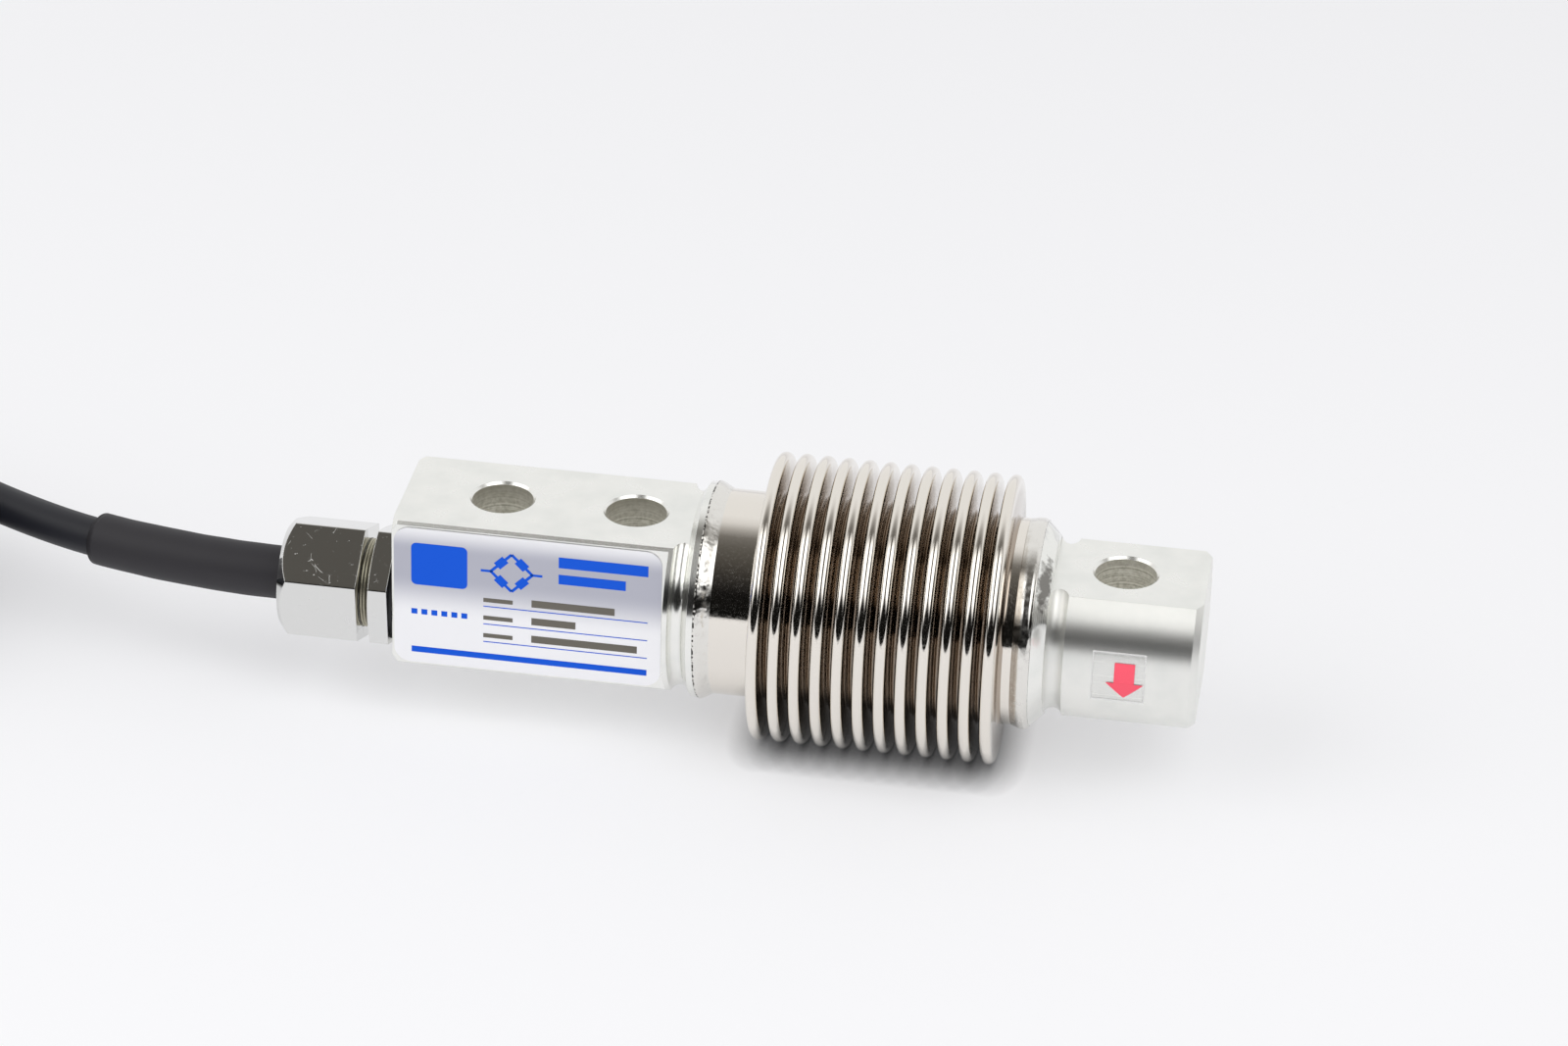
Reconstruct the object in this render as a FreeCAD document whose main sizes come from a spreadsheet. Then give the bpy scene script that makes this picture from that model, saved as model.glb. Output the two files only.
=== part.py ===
import FreeCAD, Part
import math
import os
import re
import Sketcher

Vector = FreeCAD.Vector

# A bellows-sealed bending-beam load cell. Along the cell, X counts from the free end of the
# fixed block and the cell's own axis is at Y = Z = 0; every piece is then shifted so that the
# origin lies under the middle of the cell, on the surface that the bellows rests on.

# Driving sizes in millimetres, angles in degrees
sizes = {
    # fixed block, milled from round bar
    "bar_radius": 15.65,
    "bar_end_chamfer": 0.8,
    "block_width": 21.0,
    "block_height": 24.0,
    "block_length": 41.85,
    "block_land": 0.75,
    "hole_radius": 4.5,
    "hole_chamfer": 0.4,
    "fixed_hole_edge": 14.5,
    "fixed_hole_pitch": 20.0,
    # relief groove and collar between the block and the bellows
    "fixed_groove_width": 1.95,
    "fixed_groove_depth": 0.65,
    "fixed_collar_rise": 1.39,
    "fixed_collar_cone": 0.95,
    "fixed_collar_step": 0.8,
    "fixed_collar_land": 1.55,
    "fixed_spigot_length": 5.2,
    # bellows
    "cuff_bore_radius": 15.05,
    "bellows_wall": 0.2,
    "crest_radius": 21.4,
    "crest_width": 1.6,
    "convolution_pitch": 3.107,
    "convolution_count": 12,
    "fixed_cuff_length": 7.35,
    "load_cuff_length": 3.07,
    # solder rings at both cuffs
    "fixed_bead_width": 1.4,
    "fixed_bead_proud": 0.15,
    "fixed_bead_bulge": 0.26,
    "load_bead_on_cuff": 0.7,
    "load_bead_on_collar": 0.6,
    "load_bead_bulge": 0.35,
    # load end
    "load_spigot_length": 3.1,
    "load_collar_land": 0.75,
    "load_cone_length": 2.0,
    "load_groove_width": 2.75,
    "load_groove_depth": 1.14,
    "load_radius": 13.25,
    "load_boss_length": 19.5,
    "load_end_chamfer": 1.0,
    "load_flat_height": 20.0,
    "load_hole_edge": 12.0,
    # bending beam inside the bellows
    "beam_width": 10.0,
    "beam_height": 14.0,
    "beam_hole_radius": 5.9,
    "beam_hole_inset": 10.0,
    "beam_slot_height": 6.0,
    # strain gauges
    "gauge_length": 8.4,
    "gauge_width": 6.4,
    "gauge_film": 0.1,
    "gauge_foil": 0.05,
    "grid_length": 4.2,
    "grid_strip": 0.45,
    "grid_gap": 0.45,
    # terminal board and trimming resistors
    "board_thickness": 0.8,
    "board_height": 4.0,
    "board_clearance": 0.6,
    "board_margin": 0.73,
    "resistor_thickness": 0.9,
    "resistor_width": 2.4,
    "resistor_height": 1.6,
    "resistor_place": 4.6,
    "resistor_rise": 2.0,
    # cable gland
    "gland_side": -3.0,
    "gland_rise": -3.05,
    "gland_turn": 7.2,
    "gland_across_flats": 16.7,
    "gland_gasket_thickness": 0.6,
    "gasket_radius": 7.8,
    "gasket_bulge": 0.16,
    "gland_hex_length": 3.0,
    "hex_chamfer_angle": 9.5,
    "gland_edge_round": 0.35,
    "gland_nut_gap": 1.7,
    "gland_nut_length": 12.15,
    "nut_face_radius": 7.7,
    "nut_chamfer_angle": 40.0,
    "gland_thread_radius": 6.0,
    "gland_thread_length": 5.0,
    "gland_thread_clearance": 0.05,
    "gland_neck_step": 0.6,
    "gland_neck_length": 8.4,
    "gland_chamber_radius": 5.3,
    "gland_chamber_depth": 5.5,
    "gland_sleeve_depth": 1.5,
    "gland_bore_radius": 3.1,
    "gland_seal_proud": 0.3,
    "gland_washer_clearance": 0.4,
    "gland_washer_thickness": 0.9,
    "gland_pocket_depth": 8.0,
    # wire passage beside the mounting holes, with its cast plug
    "passage_radius": 1.6,
    "passage_offset": 2.2,
    "passage_rise": -3.0,
    "passage_seal_start": 38.0,
    "passage_seal_length": 8.0,
    # conductors
    "wire_radius": 0.35,
    "wire_spread": 0.45,
    "wire_gland_spread": 0.7,
    "wire_bend": 0.6,
    "wire_corner_room": 1.0,
    "wire_stagger": 0.5,
    "wire_turn_room": 2.2,
    "wire_lane": 1.0,
    "pad_inset": 1.2,
    "pad_rise": 1.4,
    "pad_pitch": 1.6,
    "gauge_lead_radius": 0.12,
    "gauge_lead_bend": 0.5,
    "gauge_lead_clearance": 0.02,
    "gauge_lead_lane": 1.2,
    "gauge_lead_pitch": 1.4,
    "gauge_lead_rise": 0.8,
    "gauge_lead_flank": 0.5,
    "gauge_pad_rise": 1.0,
    # labels
    "nameplate_edge": 0.35,
    "nameplate_far_edge": 0.85,
    "nameplate_margin": 0.3,
    "nameplate_corner": 2.4,
    "nameplate_thickness": 0.15,
    "arrow_film_length": 7.8,
    "arrow_film_arc": 35.5,
    "arrow_film_turn": -1.0,
    "arrow_film_thickness": 0.1,
    "arrow_film_edge": 7.4,
    # cable
    "cable_radius": 3.0,
    "sleeve_radius": 4.0,
    "sleeve_length": 42.5,
    "sleeve_clearance": 0.1,
    "jacket_past_seal": 0.55,
    "coil_straight": 62.0,
    "coil_bend": 12.0,
    "coil_columns": 3,
    "coil_layers": 4,
    "coil_corner": 2.6,
    "coil_lead_in": 14.0,
    "tie_width": 3.6,
    "tie_thickness": 1.1,
    "tie_head_length": 5.2,
    "tie_head_width": 5.6,
    "tie_head_height": 3.4,
    "tie_end_length": 3.0,
    "tail_start": -30.0,
    "tail_length": 15.0,
    "tail_sink": 0.3,
    "core_radius": 0.65,
    "core_spread": 1.05,
    "core_straight": 4.0,
    "core_step": 11.0,
    "core_fan_inner": 2.2,
    "core_fan_outer": 5.4,
    "core_tip_radius": 0.4,
    "core_tip_length": 8.0,
    "drain_radius": 0.5,
}

# Route of the cable after the gland: X and Y from where it leaves the nut, Z above the surface
route_after_nut = [
    (-18.5, 2.3, 18.0),
    (-32.5, 6.9, 17.2),
    (-45.5, 13.6, 16.4),
    (-57.5, 21.0, 15.9),
]
# Straight lead of the cable past the nut before its first bend, and the share of a run that a bend takes
first_bend_reach = 4.5
bend_share = 0.45
# A corner of a path that turns by less than this, in radians, is passed straight
least_turn = 1e-4
# Share of its fan that a stripped core has reached at each of its steps
fan_shares = (0.75, 1.0, 1.1)
# Most that a tube's volume may differ from section times length
volume_tolerance = 0.01

doc = FreeCAD.newDocument("load_cell")
sheet = doc.addObject("Spreadsheet::Sheet", "Sizes")
for row, (name, number) in enumerate(sizes.items(), start=1):
    sheet.set(f"A{row}", name)
    sheet.set(f"B{row}", str(number))
    sheet.setAlias(f"B{row}", name)
doc.recompute()


# A formula in the names above, written as an expression on the sheet
def formula(text):
    def cell(word):
        return "Sizes." + word.group() if word.group() in sizes else word.group()
    return re.sub(r"[a-z_]+", cell, text)


def value(text):
    return float(sheet.evalExpression(formula(text)))


# Stations along the cell
sides_end = "(block_length - block_land)"
groove_end = "(block_length + fixed_groove_width)"
collar_top = f"({groove_end} + fixed_collar_cone)"
collar_face = f"({collar_top} + fixed_collar_land)"
spigot_end = f"({collar_face} + fixed_spigot_length)"
bellows_start = f"({collar_face} + fixed_cuff_length)"
bellows_end = f"({bellows_start} + convolution_count * convolution_pitch)"
load_seat = f"({bellows_end} + load_cuff_length)"
beam_end = f"({load_seat} - load_spigot_length)"
thin_places = (f"({spigot_end} + beam_hole_inset)", f"({beam_end} - beam_hole_inset)")
cone_start = f"({load_seat} + load_collar_land)"
cone_end = f"({cone_start} + load_cone_length)"
boss_start = f"({cone_end} + load_groove_width)"
load_end = f"({boss_start} + load_boss_length)"

# Radii and places that follow from the sizes
cuff_radius = "(cuff_bore_radius + bellows_wall)"
collar_radius = f"({cuff_radius} + fixed_collar_step)"
collar_foot = f"({collar_radius} - fixed_collar_rise)"
board_face = f"({spigot_end} + board_thickness)"
board_lift = "(beam_height / 2 + board_clearance)"
board_top = f"({board_lift} + board_height)"
board_half_width = f"sqrt((cuff_bore_radius - board_margin) ^ 2 - {board_top} ^ 2)"
passage_side = "(0 - beam_width / 2 - passage_offset)"
side_flat = "min(block_height / 2; sqrt(bar_radius ^ 2 - block_width ^ 2 / 4))"

# Stations of the gland, on the other side of the block's free end
hex_face = "(0 - gland_gasket_thickness)"
hex_back = f"({hex_face} - gland_hex_length)"
nut_face = f"({hex_back} - gland_nut_gap)"
nut_end = f"({nut_face} - gland_nut_length)"
neck_end = f"({hex_back} - gland_neck_length)"
chamber_floor = f"({neck_end} + gland_chamber_depth)"
sleeve_stop = f"({chamber_floor} + gland_sleeve_depth)"
washer_face = f"({neck_end} - gland_seal_proud)"
nut_shoulder = f"({washer_face} - gland_washer_thickness)"
thread_end = f"({hex_face} + gland_thread_length)"
jacket_end = f"({chamber_floor} + jacket_past_seal)"
neck_radius = "(gland_thread_radius + gland_neck_step)"

# The origin lies under the middle of the cell
middle = f"(({load_end} + {nut_end}) / 2)"


# Shifts an object from the cell's own axis to the part's frame
def put(obj, x="0", y="0", z="0"):
    obj.setExpression("Placement.Base.x", formula(f"{x} - {middle}"))
    obj.setExpression("Placement.Base.y", formula(y))
    obj.setExpression("Placement.Base.z", formula(f"crest_radius + {z}"))


def new_body(label, x="0", y="0", z="0"):
    body = doc.addObject("PartDesign::Body", label)
    body.Label = label
    put(body, x, y, z)
    return body


# Formula for the radius of an arc between two corners, by how deep it bulges from the straight line
def arc_radius(first, last, depth):
    chord_squared = f"(({last[0]}) - ({first[0]})) ^ 2 + (({last[1]}) - ({first[1]})) ^ 2"
    return f"({chord_squared}) / (8 * {depth}) + {depth} / 2"


# Centre of an arc from start to stop: by its radius, or by one coordinate of the centre.
# A side of 1 bulges to the left of the way from start to stop, -1 to the right.
def arc_centre(start, stop, kind, number, side):
    chord = stop - start
    left = Vector(-chord.y, chord.x, 0).normalize()
    mid = (start + stop) * 0.5
    if kind == "radius":
        return mid - left * side * math.sqrt(max(number ** 2 - chord.Length ** 2 / 4, 0))
    if kind == "centre_x":
        return mid + left * ((number - mid.x) / left.x)
    return mid + left * ((number - mid.y) / left.y)


def pin(sketch, edge, point, x, y):
    for kind, text in (("DistanceX", x), ("DistanceY", y)):
        index = sketch.addConstraint(Sketcher.Constraint(kind, -1, 1, edge, point, value(text)))
        sketch.setExpression(f"Constraints[{index}]", formula(text))


# A loop in which each arc that is given by its depth is given by its radius instead
def with_radii(loop):
    corners = []
    for corner, after in zip(loop, loop[1:] + loop[:1]):
        if len(corner) > 2 and corner[2] == "depth":
            corner = (corner[0], corner[1], "radius", arc_radius(corner, after, corner[3]), corner[4])
        corners.append(corner)
    return corners


# A sketch of closed loops. A corner is (x, y), or (x, y, kind, formula, side) where an arc follows it.
def draw(body, name, role, loops=(), circles=()):
    sketch = body.newObject("Sketcher::SketchObject", name)
    plane = [item for item in body.Origin.OriginFeatures if item.Role == role][0]
    sketch.AttachmentSupport = [(plane, "")]
    sketch.MapMode = "FlatFace"
    for loop in map(with_radii, loops):
        places = [Vector(value(corner[0]), value(corner[1]), 0) for corner in loop]
        ends = []
        for corner, start, stop in zip(loop, places, places[1:] + places[:1]):
            if len(corner) == 2:
                edge = sketch.addGeometry(Part.LineSegment(start, stop))
                ends.append((edge, 1, 2))
                continue
            kind, text, side = corner[2:]
            centre = arc_centre(start, stop, kind, value(text), side)
            first, last = (stop, start) if side > 0 else (start, stop)
            angles = [math.atan2(at.y - centre.y, at.x - centre.x) for at in (first, last)]
            circle = Part.Circle(centre, Vector(0, 0, 1), (start - centre).Length)
            edge = sketch.addGeometry(Part.ArcOfCircle(circle, *angles))
            ends.append((edge, 2, 1) if side > 0 else (edge, 1, 2))
        for (edge, first, last), (after, after_first, after_last) in zip(ends, ends[1:] + ends[:1]):
            sketch.addConstraint(Sketcher.Constraint("Coincident", edge, last, after, after_first))
        for corner, (edge, first, last) in zip(loop, ends):
            pin(sketch, edge, first, corner[0], corner[1])
            if len(corner) == 2:
                continue
            kind, text, side = corner[2:]
            if kind == "radius":
                index = sketch.addConstraint(Sketcher.Constraint("Radius", edge, value(text)))
            else:
                way = "DistanceX" if kind == "centre_x" else "DistanceY"
                index = sketch.addConstraint(Sketcher.Constraint(way, -1, 1, edge, 3, value(text)))
            sketch.setExpression(f"Constraints[{index}]", formula(text))
    for x, y, radius in circles:
        circle = Part.Circle(Vector(value(x), value(y), 0), Vector(0, 0, 1), value(radius))
        edge = sketch.addGeometry(circle)
        pin(sketch, edge, 3, x, y)
        index = sketch.addConstraint(Sketcher.Constraint("Radius", edge, value(radius)))
        sketch.setExpression(f"Constraints[{index}]", formula(radius))
    return sketch


def rectangle(x_low, y_low, x_high, y_high):
    return [(x_low, y_low), (x_high, y_low), (x_high, y_high), (x_low, y_high)]


def turned(body, name, loop, kind="PartDesign::Revolution"):
    sketch = draw(body, name + "_profile", "XY_Plane", [loop])
    feature = body.newObject(kind, name)
    feature.Profile = sketch
    feature.ReferenceAxis = (sketch, ["H_Axis"])
    feature.Angle = 360
    return feature


# A cut or a pad from a sketch, to one side of its plane or as far to both sides
def extruded(body, name, kind, sketch, length, both_sides=False, reverse=False):
    feature = body.newObject(kind, name)
    feature.Profile = sketch
    feature.SideType = "Symmetric" if both_sides else "One side"
    feature.Reversed = reverse
    feature.setExpression("Length", formula(length))
    return feature


def cut_through(body, name, role, loops=(), circles=()):
    sketch = draw(body, name + "_outline", role, loops, circles)
    return extruded(body, name, "PartDesign::Pocket", sketch, "4 * crest_radius", both_sides=True)


# Hexagon of the gland, with rounded corners
def hexagon():
    flat = "gland_across_flats / 2"
    half_side = f"(({flat} - gland_edge_round) / sqrt(3))"
    reach = f"sqrt(({flat}) ^ 2 + {half_side} ^ 2)"
    half_corner = f"(30 - atan({half_side} / ({flat})) / 1 deg)"
    loop = []
    for step in range(6):
        for side in (-1, 1):
            angle = f"((gland_turn + {60 * step} + {side} * {half_corner}) * 1 deg)"
            place = (f"0 - {reach} * sin({angle})", f"{reach} * cos({angle})")
            loop.append(place + ("radius", "gland_edge_round", -1) if side < 0 else place)
    return loop


# Spring element: block, collars, beam and load end are one piece of bar
def make_spring_element():
    body = new_body("spring_element")
    clear = "(2 * crest_radius)"
    turned(body, "bar", [
        ("0", "0"),
        ("0", "bar_radius - bar_end_chamfer"),
        ("bar_end_chamfer", "bar_radius"),
        ("block_length", "bar_radius", "depth", "fixed_groove_depth", -1),
        (groove_end, collar_foot),
        (collar_top, collar_radius),
        (collar_face, collar_radius),
        (collar_face, "cuff_bore_radius"),
        (load_seat, "cuff_bore_radius"),
        (load_seat, cuff_radius),
        (cone_start, cuff_radius),
        (cone_end, "load_radius", "depth", "load_groove_depth", -1),
        (boss_start, "load_radius"),
        (f"{load_end} - load_end_chamfer", "load_radius"),
        (load_end, "load_radius - load_end_chamfer"),
        (load_end, "0"),
    ])
    past_block = "0 - bar_radius"
    past_end = f"{load_end} + load_radius"
    for name, role, start, stop, half in (
            ("block_sides", "XY_Plane", past_block, sides_end, "block_width / 2"),
            ("block_faces", "XZ_Plane", past_block, groove_end, "block_height / 2"),
            ("beam_sides", "XY_Plane", spigot_end, beam_end, "beam_width / 2"),
            ("beam_faces", "XZ_Plane", spigot_end, beam_end, "beam_height / 2"),
            ("load_flats", "XZ_Plane", cone_end, past_end, "load_flat_height / 2")):
        cut_through(body, name, role, [
            rectangle(start, half, stop, clear),
            rectangle(start, f"0 - {clear}", stop, f"0 - {half}"),
        ])
    cut_through(body, "beam_holes", "XZ_Plane",
                circles=[(place, "0", "beam_hole_radius") for place in thin_places])
    cut_through(body, "beam_slot", "XZ_Plane", [
        rectangle(thin_places[0], "0 - beam_slot_height / 2", thin_places[1], "beam_slot_height / 2")])
    holes = [
        ("fixed_hole_edge", "block_height / 2"),
        ("fixed_hole_edge + fixed_hole_pitch", "block_height / 2"),
        (f"{load_end} - load_hole_edge", "load_flat_height / 2"),
    ]
    cut_through(body, "bolt_holes", "XY_Plane",
                circles=[(place, "0", "hole_radius") for place, face in holes])
    for number, (place, face) in enumerate(holes, start=1):
        for end, base, low, high in (
                ("top", f"{face} - hole_chamfer", "hole_radius", "hole_radius + hole_chamfer"),
                ("bottom", f"0 - {face}", "hole_radius + hole_chamfer", "hole_radius")):
            cone = body.newObject("PartDesign::SubtractiveCone", f"chamfer_{number}_{end}")
            cone.setExpression("Radius1", formula(low))
            cone.setExpression("Radius2", formula(high))
            cone.setExpression("Height", formula("hole_chamfer"))
            cone.setExpression("Placement.Base.x", formula(place))
            cone.setExpression("Placement.Base.z", formula(base))
    for name, circle, depth in (
            ("gland_pocket", ("gland_side", "gland_rise", "gland_thread_radius + gland_thread_clearance"),
             "gland_pocket_depth"),
            ("wire_passage", (passage_side, "passage_rise", "passage_radius"), spigot_end)):
        sketch = draw(body, name + "_outline", "YZ_Plane", circles=[circle])
        extruded(body, name, "PartDesign::Pocket", sketch, depth, reverse=True)
    return body


# Bellows: two plain cuffs and a row of U-shaped folds, one wall thick all over
def make_bellows():
    body = new_body("bellows")
    half_gap = "((convolution_pitch - crest_width) / 2)"
    root = cuff_radius
    bend = f"({root} + {half_gap})"
    shoulder = "(crest_radius - crest_width / 2)"
    start = bellows_start
    stop = f"({bellows_start} + convolution_pitch)"
    inner = f"({half_gap} + bellows_wall)"
    turned(body, "fixed_cuff", rectangle(collar_face, "cuff_bore_radius", start, cuff_radius))
    fold = turned(body, "fold", [
        (start, root, "centre_x", start, -1),
        (f"{start} + {half_gap}", bend),
        (f"{start} + {half_gap}", shoulder, "centre_y", shoulder, 1),
        (f"{stop} - {half_gap}", shoulder),
        (f"{stop} - {half_gap}", bend, "centre_x", stop, -1),
        (stop, root),
        (stop, f"{root} - bellows_wall", "centre_x", stop, 1),
        (f"{stop} - {inner}", bend),
        (f"{stop} - {inner}", shoulder, "centre_y", shoulder, -1),
        (f"{start} + {inner}", shoulder),
        (f"{start} + {inner}", bend, "centre_x", start, 1),
        (start, f"{root} - bellows_wall"),
    ])
    row = body.newObject("PartDesign::LinearPattern", "fold_row")
    row.Originals = [fold]
    row.Direction = (fold.Profile[0], ["H_Axis"])
    row.Mode = "Spacing"
    row.setExpression("Offset", formula("convolution_pitch"))
    row.setExpression("Occurrences", formula("convolution_count"))
    body.Tip = row
    turned(body, "load_cuff", rectangle(bellows_end, "cuff_bore_radius", load_seat, cuff_radius))
    return body


# Solder rings: one fills the corner at the fixed collar, the other covers the joint at the load collar
def make_beads():
    fixed = new_body("fixed_end_solder_bead")
    turned(fixed, "fixed_bead", [
        (collar_face, cuff_radius),
        (collar_face, f"{collar_radius} + fixed_bead_proud", "depth", "fixed_bead_bulge", 1),
        (f"{collar_face} + fixed_bead_width", cuff_radius),
    ])
    load = new_body("load_end_solder_bead")
    turned(load, "load_bead", [
        (f"{load_seat} - load_bead_on_cuff", cuff_radius, "depth", "load_bead_bulge", 1),
        (f"{load_seat} + load_bead_on_collar", cuff_radius),
    ])
    return [fixed, load]


# Cable gland: body, nut, rubber bush, thrust ring and the gasket under its head
def make_gland():
    place = {"y": "gland_side", "z": "gland_rise"}
    far = "gland_across_flats"
    entry_radius = "(sleeve_radius + sleeve_clearance)"
    body = new_body("gland_body", **place)
    turned(body, "gland_core", [
        (thread_end, "gland_bore_radius"),
        (thread_end, "gland_thread_radius"),
        (hex_back, "gland_thread_radius"),
        (hex_back, neck_radius),
        (neck_end, neck_radius),
        (neck_end, "gland_chamber_radius"),
        (chamber_floor, "gland_chamber_radius"),
        (chamber_floor, entry_radius),
        (sleeve_stop, entry_radius),
        (sleeve_stop, "gland_bore_radius"),
    ])
    head_hole = ("0", "0", "(gland_thread_radius + gland_bore_radius) / 2")
    hex_stop = f"0 - {hex_back}"
    sketch = draw(body, "gland_head_outline", "YZ_Plane", [hexagon()], [head_hole])
    extruded(body, "gland_head", "PartDesign::Pad", sketch, hex_stop, reverse=True)
    turned(body, "gland_head_seat", [
        ("0", "gland_thread_radius"),
        (hex_face, "gland_thread_radius"),
        (hex_face, far),
        ("0", far),
    ], "PartDesign::Groove")
    slope = "gland_across_flats / 2 * tan(hex_chamfer_angle * 1 deg)"
    turned(body, "gland_head_chamfer", [
        (hex_back, "gland_across_flats / 2"),
        (f"{hex_back} + {slope}", far),
        (hex_back, far),
    ], "PartDesign::Groove")

    nut = new_body("gland_nut", **place)
    nut_hole = ("0", "0", entry_radius)
    sketch = draw(nut, "nut_outline", "YZ_Plane", [hexagon()], [nut_hole])
    extruded(nut, "nut_hexagon", "PartDesign::Pad", sketch, f"0 - {nut_end}", reverse=True)
    turned(nut, "nut_thread_hole", [
        ("0", "0"),
        (nut_shoulder, "0"),
        (nut_shoulder, f"{neck_radius} + gland_thread_clearance"),
        ("0", f"{neck_radius} + gland_thread_clearance"),
    ], "PartDesign::Groove")
    turned(nut, "nut_open_end", [
        ("0", "0"),
        (nut_face, "0"),
        (nut_face, far),
        ("0", far),
    ], "PartDesign::Groove")
    slope = "(gland_across_flats - nut_face_radius) * tan(nut_chamfer_angle * 1 deg)"
    turned(nut, "nut_dome", [
        (nut_end, "nut_face_radius"),
        (nut_end, far),
        (f"{nut_end} + {slope}", far),
    ], "PartDesign::Groove")

    seal = new_body("gland_seal", **place)
    turned(seal, "bush", rectangle(washer_face, "sleeve_radius", chamber_floor, "gland_chamber_radius"))
    washer = new_body("gland_washer", **place)
    washer_radius = f"{neck_radius} - gland_washer_clearance"
    turned(washer, "ring", rectangle(nut_shoulder, entry_radius, washer_face, washer_radius))
    gasket = new_body("gland_gasket", **place)
    inside = "gland_thread_radius + gland_thread_clearance"
    turned(gasket, "gasket_ring", [
        ("0", inside),
        (hex_face, inside),
        (hex_face, "gasket_radius", "depth", "gasket_bulge", 1),
        ("0", "gasket_radius"),
    ])
    return [body, nut, seal, washer, gasket]


# Strain gauges: a film with the strips of its foil grid, glued over the thin places of the beam
def make_gauges():
    gauges = []
    half_length = "gauge_length / 2"
    half_width = "gauge_width / 2"
    for end, place in zip(("fixed", "load"), thin_places):
        for face, side, angle in (("top", "beam_height / 2", 0), ("bottom", "0 - beam_height / 2", 180)):
            body = new_body(f"strain_gauge_{face}_{end}", x=place, z=side)
            turn = FreeCAD.Rotation(Vector(1, 0, 0), angle)
            body.Placement = FreeCAD.Placement(body.Placement.Base, turn)
            film = rectangle(f"0 - {half_length}", f"0 - {half_width}", half_length, half_width)
            sketch = draw(body, f"film_{face}_{end}_outline", "XY_Plane", [film])
            extruded(body, f"film_{face}_{end}", "PartDesign::Pad", sketch, "gauge_film")
            strips = []
            for step in (-1.5, -0.5, 0.5, 1.5):
                middle_of_strip = f"{step} * (grid_strip + grid_gap)"
                strips.append(rectangle("0 - grid_length / 2", f"{middle_of_strip} - grid_strip / 2",
                                        "grid_length / 2", f"{middle_of_strip} + grid_strip / 2"))
            sketch = draw(body, f"grid_{face}_{end}_outline", "XY_Plane", strips)
            extruded(body, f"grid_{face}_{end}", "PartDesign::Pad", sketch, "gauge_film + gauge_foil")
            gauges.append(body)
    return gauges


def make_box(label, x, y, z, length, width, height):
    box = doc.addObject("Part::Box", label)
    box.Label = label
    box.setExpression("Length", formula(length))
    box.setExpression("Width", formula(width))
    box.setExpression("Height", formula(height))
    put(box, x, y, z)
    return box


# Terminal board on the inner face of the fixed end, with its two trimming resistors
def make_board():
    board = make_box("terminal_board", spigot_end, f"0 - {board_half_width}", board_lift,
                     "board_thickness", f"2 * {board_half_width}", "board_height")
    resistors = []
    for label, side in (("zero_balance_resistor", "0 - resistor_width / 2"),
                        ("span_trim_resistor", "resistor_place - resistor_width / 2")):
        resistors.append(make_box(label, board_face, side, f"{board_lift} + resistor_rise",
                                  "resistor_thickness", "resistor_width", "resistor_height"))
    return [board] + resistors


# A path of straight runs and tangent arcs through the points, as a list of edges.
# Without a given radius, each arc is as large as its two runs allow.
def tangent_path(points, radius=None, name=None):
    edges = []
    start = points[0]
    for before, corner, after in zip(points, points[1:], points[2:]):
        back = before - corner
        ahead = after - corner
        shorter = min(back.Length, ahead.Length)
        half_turn = (math.pi - back.getAngle(ahead)) / 2
        if half_turn < least_turn:
            continue
        bend = radius or bend_share * shorter / math.tan(half_turn)
        reach = bend * math.tan(half_turn)
        back.normalize()
        ahead.normalize()
        inward = (back + ahead).normalize()
        crown = corner + inward * (bend / math.cos(half_turn) - bend)
        edges.append(Part.LineSegment(start, corner + back * reach).toShape())
        edges.append(Part.Arc(corner + back * reach, crown, corner + ahead * reach).toShape())
        start = corner + ahead * reach
        if name:
            print(f"{name}: turn {math.degrees(2 * half_turn):.1f} degrees, radius {bend:.1f} mm")
    edges.append(Part.LineSegment(start, points[-1]).toShape())
    return edges


# The first stretch of a path, up to a length along it
def first_stretch(edges, length):
    stretch = []
    for edge in edges:
        if edge.Length >= length:
            stretch.append(edge.Curve.toShape(edge.FirstParameter, edge.getParameterByLength(length)))
            return stretch
        stretch.append(edge)
        length -= edge.Length
    return stretch


# A round tube along a path, with its volume compared with section times length
def tube(edges, radius):
    path = Part.Wire(edges)
    start = edges[0].valueAt(edges[0].FirstParameter)
    heading = edges[0].tangentAt(edges[0].FirstParameter)
    section = Part.Wire(Part.Circle(start, heading, radius).toShape())
    solid = path.makePipeShell([section], True, False)
    expected = math.pi * radius ** 2 * path.Length
    if abs(solid.Volume / expected - 1) > volume_tolerance:
        raise RuntimeError(f"tube volume {solid.Volume:.2f} is not {expected:.2f}")
    return solid


def make_feature(label, shape, along_cell=True):
    feature = doc.addObject("Part::Feature", label)
    feature.Label = label
    feature.Shape = shape
    if along_cell:
        put(feature)
    return feature


# Places of the four conductors: colour, and which side of the middle each one runs
conductors = [("red", 1, 1), ("black", 1, -1), ("green", -1, 1), ("white", -1, -1)]


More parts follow.
